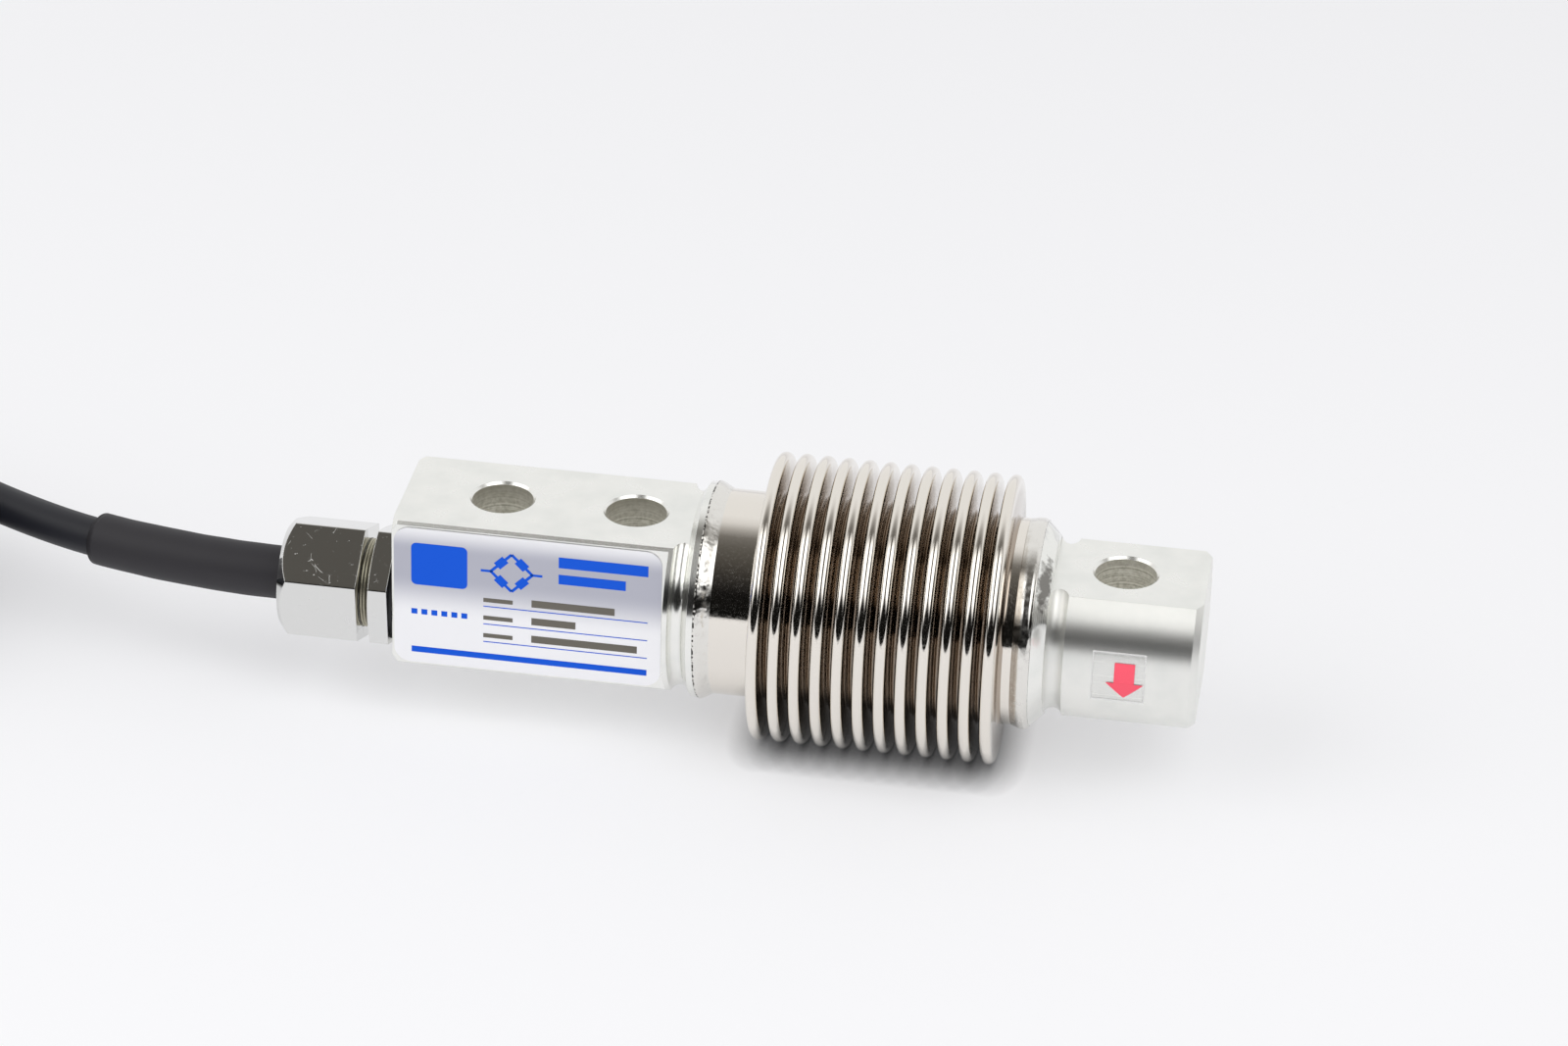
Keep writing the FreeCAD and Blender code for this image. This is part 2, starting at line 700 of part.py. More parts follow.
# Conductors from the cable, through the gland and the passage, to the terminal board
def make_lead_wires():
    wires = []
    for colour, side, rise in conductors:
        outer = 1 if rise < 0 else 0
        stagger = value(f"{side} * wire_stagger")
        gland_y = value(f"gland_side + {side} * wire_gland_spread")
        gland_z = value(f"gland_rise + {rise} * wire_gland_spread")
        run_y = value(f"{passage_side} + {side} * wire_spread")
        run_z = value(f"passage_rise + {rise} * wire_spread")
        pad_y = value(f"pad_inset - {board_half_width} + {side} * wire_spread")
        pad_z = value(f"{board_lift} + pad_rise + {outer} * pad_pitch")
        turn_x = value(f"{board_face} + wire_turn_room + {outer} * wire_lane")
        points = [
            Vector(value(jacket_end), gland_y, gland_z),
            Vector(value(f"{thread_end} + wire_corner_room") + stagger, gland_y, gland_z),
            Vector(value("gland_pocket_depth - wire_corner_room") + stagger, run_y, run_z),
            Vector(turn_x, run_y, run_z),
            Vector(turn_x, pad_y, pad_z),
            Vector(value(board_face), pad_y, pad_z),
        ]
        path = tangent_path(points, value("wire_bend"))
        wires.append(make_feature(f"lead_wire_{colour}", tube(path, value("wire_radius"))))
    return wires


# Cast plug in the passage, with a hole for each conductor
def make_passage_seal():
    body = new_body("passage_seal", x="passage_seal_start")
    holes = [(passage_side, "passage_rise", "passage_radius")]
    for colour, side, rise in conductors:
        holes.append((f"{passage_side} + {side} * wire_spread", f"passage_rise + {rise} * wire_spread",
                      "wire_radius"))
    sketch = draw(body, "plug_outline", "YZ_Plane", circles=holes)
    extruded(body, "plug", "PartDesign::Pad", sketch, "passage_seal_length")
    return body


# Eight fine wires from the gauges to the board: up from the top face, round the sides from the bottom
def make_gauge_leads():
    bend = value("gauge_lead_bend")
    face = value("beam_height / 2 + gauge_film + gauge_lead_radius + gauge_lead_clearance")
    board_x = value(board_face)
    pad_z = value(f"{board_lift} + gauge_pad_rise")
    wires = []
    for step, place in enumerate(thin_places):
        tab_x = value(f"{place} - gauge_length / 2 + gauge_lead_bend")
        rise_x = value(f"{board_face} + {step + 1} * gauge_lead_rise")
        for side in (-1, 1):
            lane_y = side * value(f"gauge_lead_lane + {step} * gauge_lead_pitch")
            flank_y = side * value(f"beam_width / 2 + {step + 1} * gauge_lead_flank")
            top = [
                Vector(tab_x, lane_y, face),
                Vector(rise_x, lane_y, face),
                Vector(rise_x, lane_y, pad_z),
                Vector(board_x, lane_y, pad_z),
            ]
            bottom = [
                Vector(tab_x, lane_y, -face),
                Vector(rise_x, lane_y, -face),
                Vector(rise_x, flank_y, -face),
                Vector(rise_x, flank_y, pad_z),
                Vector(board_x, flank_y, pad_z),
            ]
            for points in (top, bottom):
                wires.append(tube(tangent_path(points, bend), value("gauge_lead_radius")))
    return make_feature("gauge_leads", Part.makeCompound(wires))


# Foil nameplate on the front of the block
def make_nameplate():
    body = new_body("nameplate", x="nameplate_edge", y="0 - block_width / 2")
    right = f"({sides_end} - nameplate_edge - nameplate_far_edge)"
    high = f"({side_flat} - nameplate_margin)"
    low = f"(0 - {high})"
    curve = "nameplate_corner"
    arc = ("radius", curve, -1)
    sketch = draw(body, "plate_outline", "XZ_Plane", [[
        (curve, low),
        (f"{right} - {curve}", low, *arc),
        (right, f"{low} + {curve}"),
        (right, f"{high} - {curve}", *arc),
        (f"{right} - {curve}", high),
        (curve, high, *arc),
        ("0", f"{high} - {curve}"),
        ("0", f"{low} + {curve}", *arc),
    ]])
    extruded(body, "plate", "PartDesign::Pad", sketch, "nameplate_thickness")
    return body


# Clear film on the front of the load end, bent round it
def make_arrow_label():
    body = new_body("arrow_label", x=f"{load_end} - arrow_film_edge - arrow_film_length")
    body.Placement.Rotation = FreeCAD.Rotation(Vector(1, 0, 0), 180 - value("arrow_film_turn"))
    film = turned(body, "film", rectangle("0", "load_radius", "arrow_film_length",
                                          "load_radius + arrow_film_thickness"))
    film.Midplane = True
    film.setExpression("Angle", formula("arrow_film_arc"))
    return body


# An upright solid on the surface, round at both ends and straight between them
def racetrack(centre, radius, straight, height):
    half = Vector(straight / 2, 0, 0)
    out = Vector(0, radius, 0)
    tip = Vector(radius, 0, 0)
    edges = [
        Part.LineSegment(centre - half - out, centre + half - out),
        Part.Arc(centre + half - out, centre + half + tip, centre + half + out),
        Part.LineSegment(centre + half + out, centre - half + out),
        Part.Arc(centre - half + out, centre - half - tip, centre - half - out),
    ]
    return Part.Face(Part.Wire([edge.toShape() for edge in edges])).extrude(Vector(0, 0, height))


# Cable from the gland to its coil, the sleeve on it, the long tied coil and the stripped end on top of it
def make_cable():
    cable_radius = value("cable_radius")
    gland_y = value("gland_side")
    gland_z = value("crest_radius + gland_rise")
    exit_point = Vector(value(f"{nut_end} - {middle}"), gland_y, gland_z)
    inner_end = Vector(value(f"{jacket_end} - {middle}"), gland_y, gland_z)
    points = [inner_end, exit_point - Vector(first_bend_reach, 0, 0)]
    points += [Vector(exit_point.x + x, exit_point.y + y, z) for x, y, z in route_after_nut]
    route = tangent_path(points, name="cable")
    cable = tube(route, cable_radius)
    sleeve = tube(first_stretch(route, value("sleeve_length")), value("sleeve_radius")).cut(cable)

    # The lead-in turns to run along the cell and there meets the coil's outermost turn
    heading = (points[-1] - points[-2]).normalize()
    corner = points[-1] + heading * value("coil_lead_in")
    touch = corner - Vector(value("coil_lead_in"), 0, 0)
    lead_in = tube(tangent_path([points[-1], corner, touch], name="lead-in"), cable_radius)
    inside = value("coil_bend - cable_radius")
    outside = value("coil_bend + (2 * coil_columns - 1) * cable_radius")
    mean = (inside + outside) / 2
    straight = value("coil_straight")
    height = value("2 * cable_radius * coil_layers")
    centre = Vector(touch.x - straight / 2, touch.y - outside + cable_radius, 0)
    coil = racetrack(centre, outside, straight, height).cut(racetrack(centre, inside, straight, height))
    rims = [edge for edge in coil.Edges if edge.BoundBox.ZLength < cable_radius]
    coil = coil.makeFillet(value("coil_corner"), rims)

    # The end of the cable comes round on top of the coil
    tail_height = height + cable_radius - value("tail_sink")
    pivot = centre + Vector(straight / 2, 0, tail_height)
    turns = [math.radians(value(f"tail_start + (90 - tail_start) * {share}")) for share in (0, 0.5, 1)]
    bend = Part.Arc(*[pivot + Vector(math.cos(turn), math.sin(turn), 0) * mean for turn in turns])
    tail_end = pivot + Vector(0 - value("tail_length"), mean, 0)
    tail = tube([bend.toShape(), Part.LineSegment(bend.EndPoint, tail_end).toShape()], cable_radius)

    # Tie round the near side of the coil, let into its bottom, with the head on top
    thickness = value("tie_thickness")
    width = value("tie_width")
    deep = outside - inside
    near = centre - Vector(width / 2, outside, 0)
    strap = Part.makeBox(width, deep + 2 * thickness, height + thickness, near - Vector(0, thickness, 0))
    held = Part.makeBox(width, deep, height - thickness, near + Vector(0, 0, thickness))
    head_length = value("tie_head_length")
    head_width = value("tie_head_width")
    head_height = value("tie_head_height")
    head_spot = centre + Vector(0 - head_width / 2, 0 - mean - head_length / 2, height)
    head = Part.makeBox(head_width, head_length, thickness + head_height, head_spot)
    end_spot = centre + Vector(0 - width / 2, 0 - mean, height + thickness + (head_height - thickness) / 2)
    end = Part.makeBox(width, head_length / 2 + value("tie_end_length"), thickness, end_spot)
    tie = strap.cut(held).fuse([head, end])
    coil = coil.fuse([lead_in, tail]).cut(tie)

    pieces = [
        make_feature("cable", cable, along_cell=False),
        make_feature("cable_sleeve", sleeve, along_cell=False),
        make_feature("cable_coil", coil.removeSplitter(), along_cell=False),
        make_feature("coil_tie", tie.removeSplitter(), along_cell=False),
    ]

    # Stripped cores fan out from the end of the tail and lie on the coil
    tips = []
    strands = []
    for colour, side, rise in conductors:
        fan = "core_fan_outer" if side == rise else "core_fan_inner"
        strands.append((f"core_{colour}", side, rise, value(f"{side} * {fan}"), "core_radius"))
    strands.append(("shield_drain", 0, 0, 0, "drain_radius"))
    for label, side, rise, spread, size in strands:
        radius = value(size)
        start = tail_end + Vector(0, side, rise) * value("core_spread")
        core_points = [start, start - Vector(value("core_straight"), 0, 0)]
        for step, share in enumerate(fan_shares, start=1):
            reach = value(f"core_straight + {step} * core_step")
            core_points.append(Vector(tail_end.x - reach, tail_end.y + share * spread, height + radius))
        pieces.append(make_feature(label, tube(tangent_path(core_points), radius), along_cell=False))
        if side:
            tip_start = core_points[-1]
            way = (tip_start - core_points[-2]).normalize()
            tip = Part.makeCylinder(value("core_tip_radius"), value("core_tip_length"), tip_start, way)
            tips.append(tip)
    pieces.append(make_feature("core_tips", Part.makeCompound(tips), along_cell=False))
    print(f"coil middle {centre.x:.2f} {centre.y:.2f}")
    print(f"outermost turn starts at {touch.x:.2f} {touch.y:.2f} {touch.z:.2f}")
    return pieces


parts = [make_spring_element(), make_bellows()]
parts += make_beads()
parts += make_gland()
parts += make_gauges()
parts += make_board()
parts += make_lead_wires()
parts += [make_passage_seal(), make_gauge_leads(), make_nameplate(), make_arrow_label()]
parts += make_cable()
doc.recompute()

for obj in doc.Objects:
    if "Invalid" in obj.State or "Error" in obj.State:
        raise RuntimeError(f"{obj.Label} did not recompute: {obj.State}")
for part in parts:
    if part.Shape.isNull() or not part.Shape.isValid() or not part.Shape.Solids:
        raise RuntimeError(f"{part.Label} has no valid solid")

os.makedirs("parts", exist_ok=True)
for part in parts:
    part.Shape.exportStep(f"parts/{part.Label}.step")
    print(f"{part.Label}: {len(part.Shape.Solids)} solid, {part.Shape.Volume:.1f} mm3")
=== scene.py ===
import math

import bpy
from mathutils import Euler, Matrix, Vector, noise


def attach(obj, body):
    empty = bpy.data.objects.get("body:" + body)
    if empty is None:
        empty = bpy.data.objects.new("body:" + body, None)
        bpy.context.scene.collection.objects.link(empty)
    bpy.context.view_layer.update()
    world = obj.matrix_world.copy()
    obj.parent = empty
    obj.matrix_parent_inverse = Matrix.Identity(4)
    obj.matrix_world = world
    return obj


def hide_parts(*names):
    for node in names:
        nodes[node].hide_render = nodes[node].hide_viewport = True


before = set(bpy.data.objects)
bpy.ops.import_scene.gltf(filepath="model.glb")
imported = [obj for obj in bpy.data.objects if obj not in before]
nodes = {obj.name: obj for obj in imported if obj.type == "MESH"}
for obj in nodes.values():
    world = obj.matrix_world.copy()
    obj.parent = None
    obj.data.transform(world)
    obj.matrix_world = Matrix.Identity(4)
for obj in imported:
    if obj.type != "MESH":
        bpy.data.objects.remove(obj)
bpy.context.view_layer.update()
print("frame loaded:", len(nodes), "CAD nodes")


def mm(*values):
    return tuple(value / 1000 for value in values)


def hexColour(text):                      # sRGB hex to the linear colour that shaders take
    channels = [int(text[i:i + 2], 16) / 255 for i in (0, 2, 4)]
    linear = [c / 12.92 if c <= 0.04045 else ((c + 0.055) / 1.055) ** 2.4 for c in channels]
    return (*linear, 1.0)


def addNode(tree, kind, inputs=None, **settings):
    node = tree.nodes.new(kind)
    for name, value in settings.items():
        setattr(node, name, value)
    for name, value in (inputs or {}).items():
        if isinstance(value, bpy.types.NodeSocket):
            tree.links.new(value, node.inputs[name])
        else:
            node.inputs[name].default_value = value
    return node


def newMaterial(name):
    material = bpy.data.materials.new(name)
    material.use_nodes = True
    material.node_tree.nodes.clear()
    return material, material.node_tree


def finishMaterial(tree, surface):
    addNode(tree, "ShaderNodeOutputMaterial", {"Surface": surface.outputs[0]})


def dress(piece, material):               # a CAD node keeps its mesh and gets a better material
    for slot in piece.material_slots:
        slot.material = material


# Camera at the photograph's place: a long lens, a little to the right and about 29 degrees above
camera = {
    "spot": mm(96.72, -662.37, 405.72),
    "turn": (60.902, -1.717, 8.782),
    "lens": 119.85,
    "sensor": 36.0,
}


def makeCamera():
    data = bpy.data.cameras.new("camera")
    data.lens = camera["lens"]
    data.sensor_width = camera["sensor"]
    data.clip_start = 0.05
    data.clip_end = 20
    eye = bpy.data.objects.new("camera", data)
    eye.location = camera["spot"]
    eye.rotation_euler = Euler([math.radians(angle) for angle in camera["turn"]])
    bpy.context.scene.collection.objects.link(eye)
    bpy.context.scene.camera = eye


# A white paper sweep behind and below, a dark room on the camera's side, and two soft boxes beside it
studio = {
    "paper": "F6F6F8",
    "fill": 0.53,
    "room": [                             # degrees over the top, back to front, and the colour there
        (-180, "F7F7F7"),
        (-33, "F7F7F7"),
        (-22, "E6E5E4"),
        (-13, "B4B2AF"),
        (-3, "7A7773"),
        (10, "625F5A"),
        (24, "53504B"),
        (38, "3F3C38"),
        (52, "292725"),
        (62, "121110"),
        (90, "0F0F0E"),
    ],
    "floorSize": 8.0,
    "floorGlow": 0.42,                    # share of the paper's white that glows, so that only the painted contact shadow takes it away
    "glowLevel": 1.06,
    "contact": 5.0,                       # mm within which a piece close by darkens the paper with painted contact shadow
    "contactFall": 1.4,
    "boxDistance": 1.1,
    "boxLevel": 1.75,
    "boxFade": (0.25, 0.55),              # share of half width and half height where the cloth darkens
    "boxes": [                            # degrees aside, degrees to the front, half width, half height
        (-42.0, 30.0, 26.0, 30.0),
        (26.5, 30.0, 25.0, 30.0),
    ],
}


def makeWorld():
    world = bpy.data.worlds.new("studio")
    bpy.context.scene.world = world
    world.use_nodes = True
    tree = world.node_tree
    tree.nodes.clear()
    way = addNode(tree, "ShaderNodeTexCoord").outputs["Generated"]
    parts = addNode(tree, "ShaderNodeSeparateXYZ", {0: way}).outputs
    front = addNode(tree, "ShaderNodeMath", {0: parts["Y"], 1: -1.0}, operation="MULTIPLY").outputs[0]
    angle = addNode(tree, "ShaderNodeMath", {0: front, 1: parts["Z"]}, operation="ARCTAN2").outputs[0]
    share = addNode(tree, "ShaderNodeMapRange", {0: angle, 1: -math.pi, 2: math.pi}).outputs[0]
    ramp = addNode(tree, "ShaderNodeValToRGB", {0: share})
    stops = ramp.color_ramp.elements
    stops.remove(stops[1])
    for index, (degrees, colour) in enumerate(studio["room"]):
        stop = stops[0] if index == 0 else stops.new((degrees + 180) / 360)
        stop.color = hexColour(colour)
    path = addNode(tree, "ShaderNodeLightPath").outputs
    mirrored = addNode(tree, "ShaderNodeMath", {0: path["Is Glossy Ray"], 1: path["Is Transmission Ray"]},
                       operation="MAXIMUM").outputs[0]
    fill = studio["fill"]
    shown = addNode(tree, "ShaderNodeMix", {0: mirrored, 6: (fill, fill, fill, 1.0), 7: ramp.outputs[0]},
                    data_type="RGBA").outputs[2]
    seen = addNode(tree, "ShaderNodeMix", {
        0: path["Is Camera Ray"], 6: shown, 7: hexColour(studio["paper"])}, data_type="RGBA").outputs[2]
    back = addNode(tree, "ShaderNodeBackground", {"Color": seen})
    addNode(tree, "ShaderNodeOutputWorld", {"Surface": back.outputs[0]})


def paperMaterial():                      # matt white paper, lit to the photograph's own white
    material, tree = newMaterial("sweepPaperMatt")
    # painted contact shadow: ambient occlusion darkens the paper's colour close to the pieces
    contactShadow = addNode(tree, "ShaderNodeAmbientOcclusion", {
        "Distance": studio["contact"] / 1000}, samples=8).outputs["AO"]
    shade = addNode(tree, "ShaderNodeMath", {0: contactShadow, 1: studio["contactFall"]}, operation="POWER").outputs[0]
    colour = addNode(tree, "ShaderNodeMix", {
        0: shade, 6: hexColour("000000"), 7: hexColour(studio["paper"])}, data_type="RGBA").outputs[2]
    surface = addNode(tree, "ShaderNodeBsdfPrincipled", {
        "Base Color": colour, "Roughness": 0.9, "Specular IOR Level": 0.1})
    glow = addNode(tree, "ShaderNodeEmission", {"Color": colour, "Strength": studio["glowLevel"]})
    both = addNode(tree, "ShaderNodeMixShader", {
        0: studio["floorGlow"], 1: surface.outputs[0], 2: glow.outputs[0]})
    finishMaterial(tree, both)
    return material


def lightCloth(tree):                     # a soft box is brightest in its middle and fades towards its edges
    place = addNode(tree, "ShaderNodeNewGeometry").outputs["Parametric"]
    parts = addNode(tree, "ShaderNodeSeparateXYZ", {0: place}).outputs
    cloth = []
    for side, fade in zip("XY", studio["boxFade"]):
        offset = addNode(tree, "ShaderNodeMath", {0: parts[side], 1: 0.5}, operation="SUBTRACT").outputs[0]
        outward = addNode(tree, "ShaderNodeMath", {0: offset}, operation="ABSOLUTE").outputs[0]
        cloth.append(addNode(tree, "ShaderNodeMapRange", {
            0: outward, 1: 0.5, 2: 0.5 * (1 - fade)}, interpolation_type="SMOOTHSTEP").outputs[0])
    level = addNode(tree, "ShaderNodeMath", {0: cloth[0], 1: cloth[1]}, operation="MULTIPLY").outputs[0]
    glow = addNode(tree, "ShaderNodeEmission", {"Strength": level})
    addNode(tree, "ShaderNodeOutputLight", {"Surface": glow.outputs[0]})


def makeStage():
    half = studio["floorSize"] / 2
    mesh = bpy.data.meshes.new("floor")
    corners = [(-half, -half, 0), (half, -half, 0), (half, half, 0), (-half, half, 0)]
    mesh.from_pydata(corners, [], [(0, 1, 2, 3)])
    floor = bpy.data.objects.new("floor", mesh)
    mesh.materials.append(paperMaterial())
    bpy.context.scene.collection.objects.link(floor)
    for number, (aside, over, halfWidth, halfHeight) in enumerate(studio["boxes"], start=1):
        turn, lean = math.radians(aside), math.radians(over)
        way = Vector((math.sin(turn), -math.cos(turn) * math.sin(lean), math.cos(turn) * math.cos(lean)))
        across = (Vector((1, 0, 0)) - way * way.x).normalized()
        data = bpy.data.lights.new(f"softBox{number}", "AREA")
        data.shape = "RECTANGLE"
        data.size = 2 * studio["boxDistance"] * math.tan(math.radians(halfWidth))
        data.size_y = 2 * studio["boxDistance"] * math.tan(math.radians(halfHeight))
        data.energy = studio["boxLevel"] * math.pi * data.size * data.size_y
        data.use_nodes = True
        data.node_tree.nodes.clear()
        lightCloth(data.node_tree)
        box = bpy.data.objects.new(f"softBox{number}", data)
        box.location = way * studio["boxDistance"]
        box.rotation_euler = Matrix((across, way.cross(across), way)).transposed().to_euler()
        bpy.context.scene.collection.objects.link(box)


# Cable: where it leaves the gland nut, the route's points, and the coil of what the photograph doesn't show
cable = {
    "diameter": 6.0,
    "length": 3.0,
    "exit": (-68.227, -3.0, 18.35),
    "route": [
        (-56.727, -3.0, 18.35),
        (-72.727, -3.0, 18.35),
        (-86.727, -0.7, 18.0),
        (-100.727, 3.9, 17.2),
        (-113.727, 10.6, 16.4),
        (-125.727, 18.0, 15.9),
    ],
    "leadIn": 14.0,
    "straight": 62.0,
    "innerBend": 12.0,
    "columns": 3,
    "winding": [                          # column from the outside and layer from the floor, turn by turn
        (0, 2), (0, 1), (0, 0), (1, 0), (2, 0), (2, 1),
        (1, 1), (1, 2), (2, 2), (2, 3), (1, 3), (0, 3),
    ],
    "bendPoints": 8,
    "runPoints": 8,
    "tailHeight": 26.7,
    "tailLength": 15.0,
    "tieHeld": 24.0,
    "tieLift": 1.1,
    "tieReach": 9.0,
}


def smooth(share):
    share = min(max(share, 0.0), 1.0)
    return share * share * (3 - 2 * share)


def coilPoints():                         # lead-in, turns round two bends and two straight runs, and the tail
    last, before = Vector(cable["route"][-1]), Vector(cable["route"][-2])
    corner = last + (last - before).normalized() * cable["leadIn"]
    pitch = cable["diameter"]
    half = cable["straight"] / 2
    places = []
    for column, layer in cable["winding"]:
        places.append((cable["innerBend"] + pitch * (cable["columns"] - 1 - column), pitch * (layer + 0.5)))
    middleX = corner.x - cable["leadIn"] - half
    middleY = corner.y - places[0][0]
    tail = (cable["innerBend"] + pitch * (cable["columns"] - 1) / 2, cable["tailHeight"])
    points = [corner]

    def addRun(side, radius, height):     # side 1 is the far run, and -1 the near run under the tie
        for step in range(cable["runPoints"]):
            along = half - 2 * half * (step + 0.5) / cable["runPoints"]
            lift = 0.0
            if side < 0:
                lift = cable["tieLift"] * smooth(2 - abs(along) / cable["tieReach"])
                lift *= 1 - height / cable["tieHeld"]
            points.append(Vector((middleX + side * along, middleY + side * radius, height + lift)))

    def addBend(side, place, after):      # half a turn, from one place in the coil to the next
        step = math.pi / cable["bendPoints"]
        for number in range(cable["bendPoints"]):
            share = smooth((number + 0.5) / cable["bendPoints"])
            reach = (place[0] + (after[0] - place[0]) * share) / math.cos(step / 2)
            angle = side * math.pi / 2 + step * (number + 0.5)
            points.append(Vector((middleX - side * half + reach * math.cos(angle),
                                  middleY + reach * math.sin(angle),
                                  place[1] + (after[1] - place[1]) * share)))

    for place, after in zip(places, places[1:] + [tail]):
        addRun(1, *place)
        addBend(1, place, place)
        addRun(-1, *place)
        addBend(-1, place, after)
    for share in (0.25, 0.5, 0.75, 1.0):
        points.append(Vector((middleX + half - cable["tailLength"] * share, middleY + tail[0], tail[1])))
    return points


def nurbsCurve(name, points, radius=0.0):
    curve = bpy.data.curves.new(name, "CURVE")
    curve.dimensions = "3D"
    spline = curve.splines.new("NURBS")
    spline.points.add(len(points) - 1)
    for knot, point in zip(spline.points, points):
        knot.co = (*mm(*point), 1.0)
    spline.order_u = 3
    spline.use_endpoint_u = True
    curve.resolution_u = 8
    curve.bevel_depth = radius / 1000
    curve.bevel_resolution = 6
    curve.use_fill_caps = True
    piece = bpy.data.objects.new(name, curve)
    bpy.context.scene.collection.objects.link(piece)
    return piece


def lineOf(points):                       # points along the route's own smooth line
    guide = nurbsCurve("guide", points)
    guide.data.resolution_u = 40
    bpy.context.view_layer.update()
    mesh = bpy.data.meshes.new_from_object(guide.evaluated_get(bpy.context.evaluated_depsgraph_get()))
    line = [vertex.co * 1000 for vertex in mesh.vertices]
    bpy.data.objects.remove(guide)
    bpy.data.meshes.remove(mesh)
    return line


def jacketMaterial():                     # extruded PVC: semi-matt and blue-black
    material, tree = newMaterial("cablePvcExtruded")
    surface = addNode(tree, "ShaderNodeBsdfPrincipled", {
        "Base Color": hexColour("16171F"), "Roughness": 0.5, "Specular IOR Level": 0.4})
    finishMaterial(tree, surface)
    return material


def sleeveMaterial():                     # heat-shrunk polyolefin: matt, a warmer black than the cable
    material, tree = newMaterial("sleevePolyolefinShrunk")
    surface = addNode(tree, "ShaderNodeBsdfPrincipled", {
        "Base Color": hexColour("242227"), "Roughness": 0.6, "IOR": 1.5})
    finishMaterial(tree, surface)
    return material


sleeve = {
    "radius": 4.0,
    "length": 42.5,
    "bore": 3.05,
    "step": 0.5,
    "around": 56,
    "waviness": 0.05,
    "waveLength": 4.0,
    "waveTurn": 1.5,
    "edgeRound": 0.35,
    "overlap": 8,                         # steps that the bore runs back from the end
}


def meshPiece(name, vertices, faces, material):
    mesh = bpy.data.meshes.new(name)
    mesh.from_pydata([mm(*vertex) for vertex in vertices], [], faces)
    mesh.materials.append(material)
    mesh.polygons.foreach_set("use_smooth", [True] * len(mesh.polygons))
    piece = bpy.data.objects.new(name, mesh)
    bpy.context.scene.collection.objects.link(piece)
    return piece


def ringFaces(rings, around):             # quads between neighbouring rings of vertices
    faces = []
    for ring in range(rings - 1):
        for place in range(around):
            after = (place + 1) % around
            faces.append((ring * around + place, ring * around + after,
                          (ring + 1) * around + after, (ring + 1) * around + place))
    return faces


def closedRings(rings, around):           # the same, with the last ring joined to the first
    faces = ringFaces(rings, around)
    start = (rings - 1) * around
    for place in range(around):
        after = (place + 1) % around
        faces.append((start + place, start + after, after, place))
    return faces


def makeSleeve():
    line = lineOf(cable["route"])
    spots, along = [(line[0], 0.0)], 0.0
    for start, stop in zip(line, line[1:]):
        along += (stop - start).length
        if along - spots[-1][1] >= sleeve["step"]:
            spots.append((stop, along))
        if along >= sleeve["length"]:
            break
    spots[-1] = (stop, along)
    rings = []
    for index, (spot, along) in enumerate(spots):
        nearby = spots[min(index + 1, len(spots) - 1)][0] - spots[max(index - 1, 0)][0]
        heading = nearby.normalized()
        side = heading.cross(Vector((0, 0, 1))).normalized()
        rings.append((spot, heading, side, side.cross(heading), along))
    end = rings[-1]
    profile = [(ring, sleeve["radius"], 0.0) for ring in rings]
    for step in range(1, 5):              # rounded lip, then back along the bore
        turn = math.radians(22.5 * step)
        lip = sleeve["edgeRound"]
        profile.append((end, sleeve["radius"] - lip * (1 - math.cos(turn)), lip * (math.sin(turn) - 1)))
    profile.append((end, sleeve["bore"], 0.0))
    profile.append((rings[-sleeve["overlap"]], sleeve["bore"], 0.0))
    vertices = []
    for (spot, heading, side, up, along), radius, shift in profile:
        for place in range(sleeve["around"]):
            angle = math.tau * place / sleeve["around"]
            way = side * math.cos(angle) + up * math.sin(angle)
            turn = sleeve["waveTurn"]
            wave = noise.noise(Vector((along / sleeve["waveLength"], way.x * turn, way.z * turn)))
            wave *= sleeve["waviness"]
            vertices.append(spot + heading * shift + way * (radius + wave))
    return meshPiece("cableSleeve", vertices, ringFaces(len(profile), sleeve["around"]), sleeveMaterial())


def makeCable():
    points = [Vector(point) for point in cable["route"]] + coilPoints()
    cord = nurbsCurve("cableCord", points, cable["diameter"] / 2)
    cord.data.materials.append(jacketMaterial())
    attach(cord, "root")
    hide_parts("cable", "cable_coil")
    tube = makeSleeve()
    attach(tube, "root")
    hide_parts("cable_sleeve")
    print("cable laid with", len(points), "points")


# Turned and milled body: where its holes and turned places are, and the sizes of the marks on its plating
body = {
    "axisHeight": 21.4,
    "holes": (-36.277, -16.277, 56.227),
    "holeReach": 4.53,
    "rimReach": 4.93,
    "blockEnd": -9.68,                    # beyond here all is turned except the load flats
    "flatFrom": 0.97,                     # a face that points this far up or down is a flat
    "cornerFrom": 0.1,
    "tinned": (43.2, 46.0),               # the load collar is tinned by the solder
    "reflectionPatch": (45.1, -8.6, 32.6),          # a painted dark reflection in a ragged patch on it, and its reach each way
    "reflectionReach": (1.15, 5.5, 3.3),
    "reflectionGrain": 0.9,
    "reflectionRagged": 1.6,
    "reflectionFade": (1.35, 1.85),
    "reflectionDark": "85837F",
    "light": "F2F2EE",
    "dull": "EBECE8",
    "bore": "FFFEF9",
    "boreStain": "D2D0C6",
    "boreShade": "C2BFB4",                # the wall is darker close under the rim
    "boreSpan": (29.5, 33.6),
    "stainSize": 0.6,
    "drillSize": 0.3,                     # the drill's lines round the wall, also drawn coarser than real
    "cloudSize": 5.0,
    "milledRough": (0.27, 0.31),
    "rimRough": 0.27,
    "boreRough": 0.72,
    "tinnedRough": 0.14,
    "turnedRough": (0.2, 0.4),            # finer beside the block than at the load end
    "turnedSpan": (-5.0, 45.0),
    "turnedStreak": 0.8,
    "grainSize": 0.2,                     # the real grain and tool lines are finer: coarse enough to show
    "grainDepth": 0.003,
    "lineSize": 0.14,
    "lineDepth": 0.004,
    "wipeSize": 3.6,
    "wipeDepth": 0.5,
    "edgeRound": 0.1,
}


